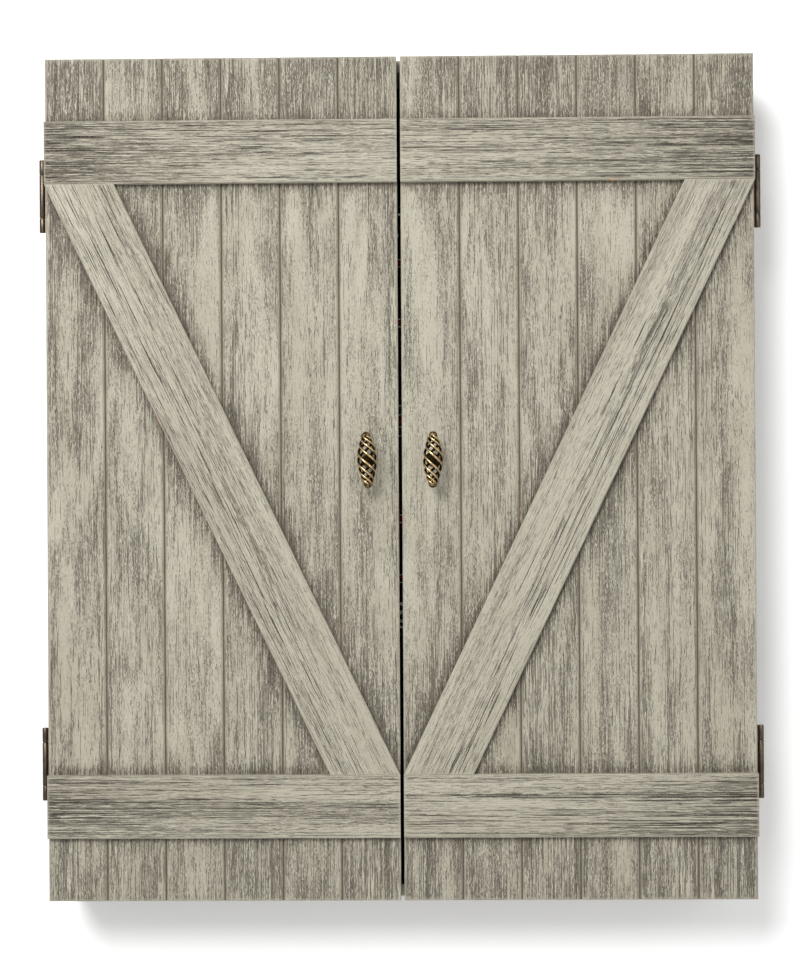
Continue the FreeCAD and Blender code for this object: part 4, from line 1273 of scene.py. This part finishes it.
class CABINET_OT_stage(bpy.types.Operator):
    """Build the wall, floor, lights and camera"""

    bl_idname = "cabinet.stage"
    bl_label = "Stage"

    def execute(self, context):
        stage = context.scene.cabinet_stage
        low, high = CAD_BOX
        span = stage.span
        back = high.y + stage.wall_gap
        floor = low.z - stage.floor_drop
        self.screen(stage, "studio_wall", [(-span, back, -span), (span, back, -span),
                                           (span, back, span), (-span, back, span)])
        self.screen(stage, "studio_floor", [(-span, back - span, floor), (span, back - span, floor),
                                            (span, back + span, floor), (-span, back + span, floor)])
        self.sky(context, stage)
        middle = (low + high) / 2
        for name, place, size, share in LIGHTS:
            light = bpy.data.lights.new(name, "AREA")
            light.shape = "DISK"
            light.size = size
            light.energy = stage.key * share
            lamp = new_object(name, light)
            lamp.location = middle + Vector(place)
            lamp.rotation_euler = (middle - lamp.location).to_track_quat("-Z", "Y").to_euler()
            lamp.visible_camera = False
        self.camera(context, stage)
        context.scene.view_settings.view_transform = "Standard"
        return {"FINISHED"}

    def sky(self, context, stage):
        """Even light from all round, plain white where the camera sees it."""
        world = bpy.data.worlds.new("Even light")
        context.scene.world = world
        world.use_nodes = True
        world.node_tree.nodes.clear()
        sky = Tree(world.node_tree)
        seen = sky.add("ShaderNodeLightPath").outputs["Is Camera Ray"]
        bright = sky.spread(seen, 0.0, 1.0, stage.fill, 1.0)
        shade = sky.add("ShaderNodeBackground", {"Color": (1.0, 1.0, 1.0), "Strength": bright})
        sky.feed(sky.add("ShaderNodeOutputWorld").inputs["Surface"], shade.outputs[0])

    def camera(self, context, stage):
        """Camera in front of the doors, a little aside and turned."""
        camera = bpy.data.cameras.new("camera")
        camera.lens = stage.lens
        camera.sensor_width = 36.0
        camera.clip_start, camera.clip_end = 0.05, 50
        holder = new_object("camera", camera)
        door_low, _ = door_extent("left")
        holder.location = (stage.camera_aside, door_low.y - stage.camera_distance, -stage.camera_low)
        turn = (Matrix.Rotation(stage.camera_pan, 3, "Z") @ Matrix.Rotation(stage.camera_roll, 3, "Y")
                @ Matrix.Rotation(stage.camera_tilt, 3, "X") @ Matrix.Rotation(math.pi / 2, 3, "X"))
        holder.rotation_euler = turn.to_euler()
        context.scene.camera = holder

    def screen(self, stage, name, corners):
        """Large pale sheet that is seen only from its front, so that other views look past it."""
        mesh = bpy.data.meshes.new(name)
        mesh.from_pydata(corners, [], [(0, 1, 2, 3)])
        self.screen_material(name + " finish", stage)
        mesh.materials.append(bpy.data.materials[name + " finish"])
        new_object(name, mesh)

    def screen_material(self, name, stage):
        """Pale matt paint; light from behind passes through to the back of the cabinet."""
        tree = new_material(name)
        mottle = tree.group("Mottle", Vector=tree.place(), Scale=3.0, Low=0.0, High=0.03)
        tone = tree.mix(mottle["Value"], tuple(stage.wall), tuple(c * 0.9 for c in stage.wall))
        matt = tree.add("ShaderNodeBsdfDiffuse", {"Color": tone})
        clear = tree.add("ShaderNodeBsdfTransparent")
        seen = tree.add("ShaderNodeLightPath").outputs["Is Camera Ray"]
        behind = tree.add("ShaderNodeNewGeometry").outputs["Backfacing"]
        share = tree.times(seen, tree.minus(1.0, behind))
        both = tree.add("ShaderNodeMixShader", {0: share, 1: clear.outputs[0], 2: matt.outputs[0]})
        output = tree.add("ShaderNodeOutputMaterial")
        tree.feed(output.inputs["Surface"], both.outputs[0])


OPERATORS = (
    CABINET_OT_finishes, CABINET_OT_box, CABINET_OT_planks, CABINET_OT_rails, CABINET_OT_hinges,
    CABINET_OT_knobs, CABINET_OT_fittings, CABINET_OT_insides, CABINET_OT_dartboard, CABINET_OT_stage,
)
SETTINGS = {
    "cabinet_paint": PaintSettings,
    "cabinet_metal": MetalSettings,
    "cabinet_board": BoardSettings,
    "cabinet_stage": StageSettings,
}


class CABINET_PT_panel(bpy.types.Panel):
    """Buttons for every part of the cabinet"""

    bl_idname = "CABINET_PT_panel"
    bl_label = "Dart board cabinet"
    bl_space_type = "VIEW_3D"
    bl_region_type = "UI"
    bl_category = "Cabinet"

    def draw(self, context):
        for operator in OPERATORS:
            self.layout.operator(operator.bl_idname)
        for name in SETTINGS:
            group = getattr(context.scene, name)
            box = self.layout.box()
            for prop in group.bl_rna.properties.keys():
                if prop not in ("rna_type", "name"):
                    box.prop(group, prop)


def register():
    for group in SETTINGS.values():
        bpy.utils.register_class(group)
    for operator in OPERATORS:
        bpy.utils.register_class(operator)
    bpy.utils.register_class(CABINET_PT_panel)
    for name, group in SETTINGS.items():
        setattr(bpy.types.Scene, name, PointerProperty(type=group))


def unregister():
    for name in SETTINGS:
        delattr(bpy.types.Scene, name)
    bpy.utils.unregister_class(CABINET_PT_panel)
    for item in (*reversed(OPERATORS), *SETTINGS.values()):
        bpy.utils.unregister_class(item)


def main():
    register()
    for operator in OPERATORS:
        getattr(bpy.ops.cabinet, operator.bl_idname.split(".")[1])()


if __name__ == "__main__":
    main()
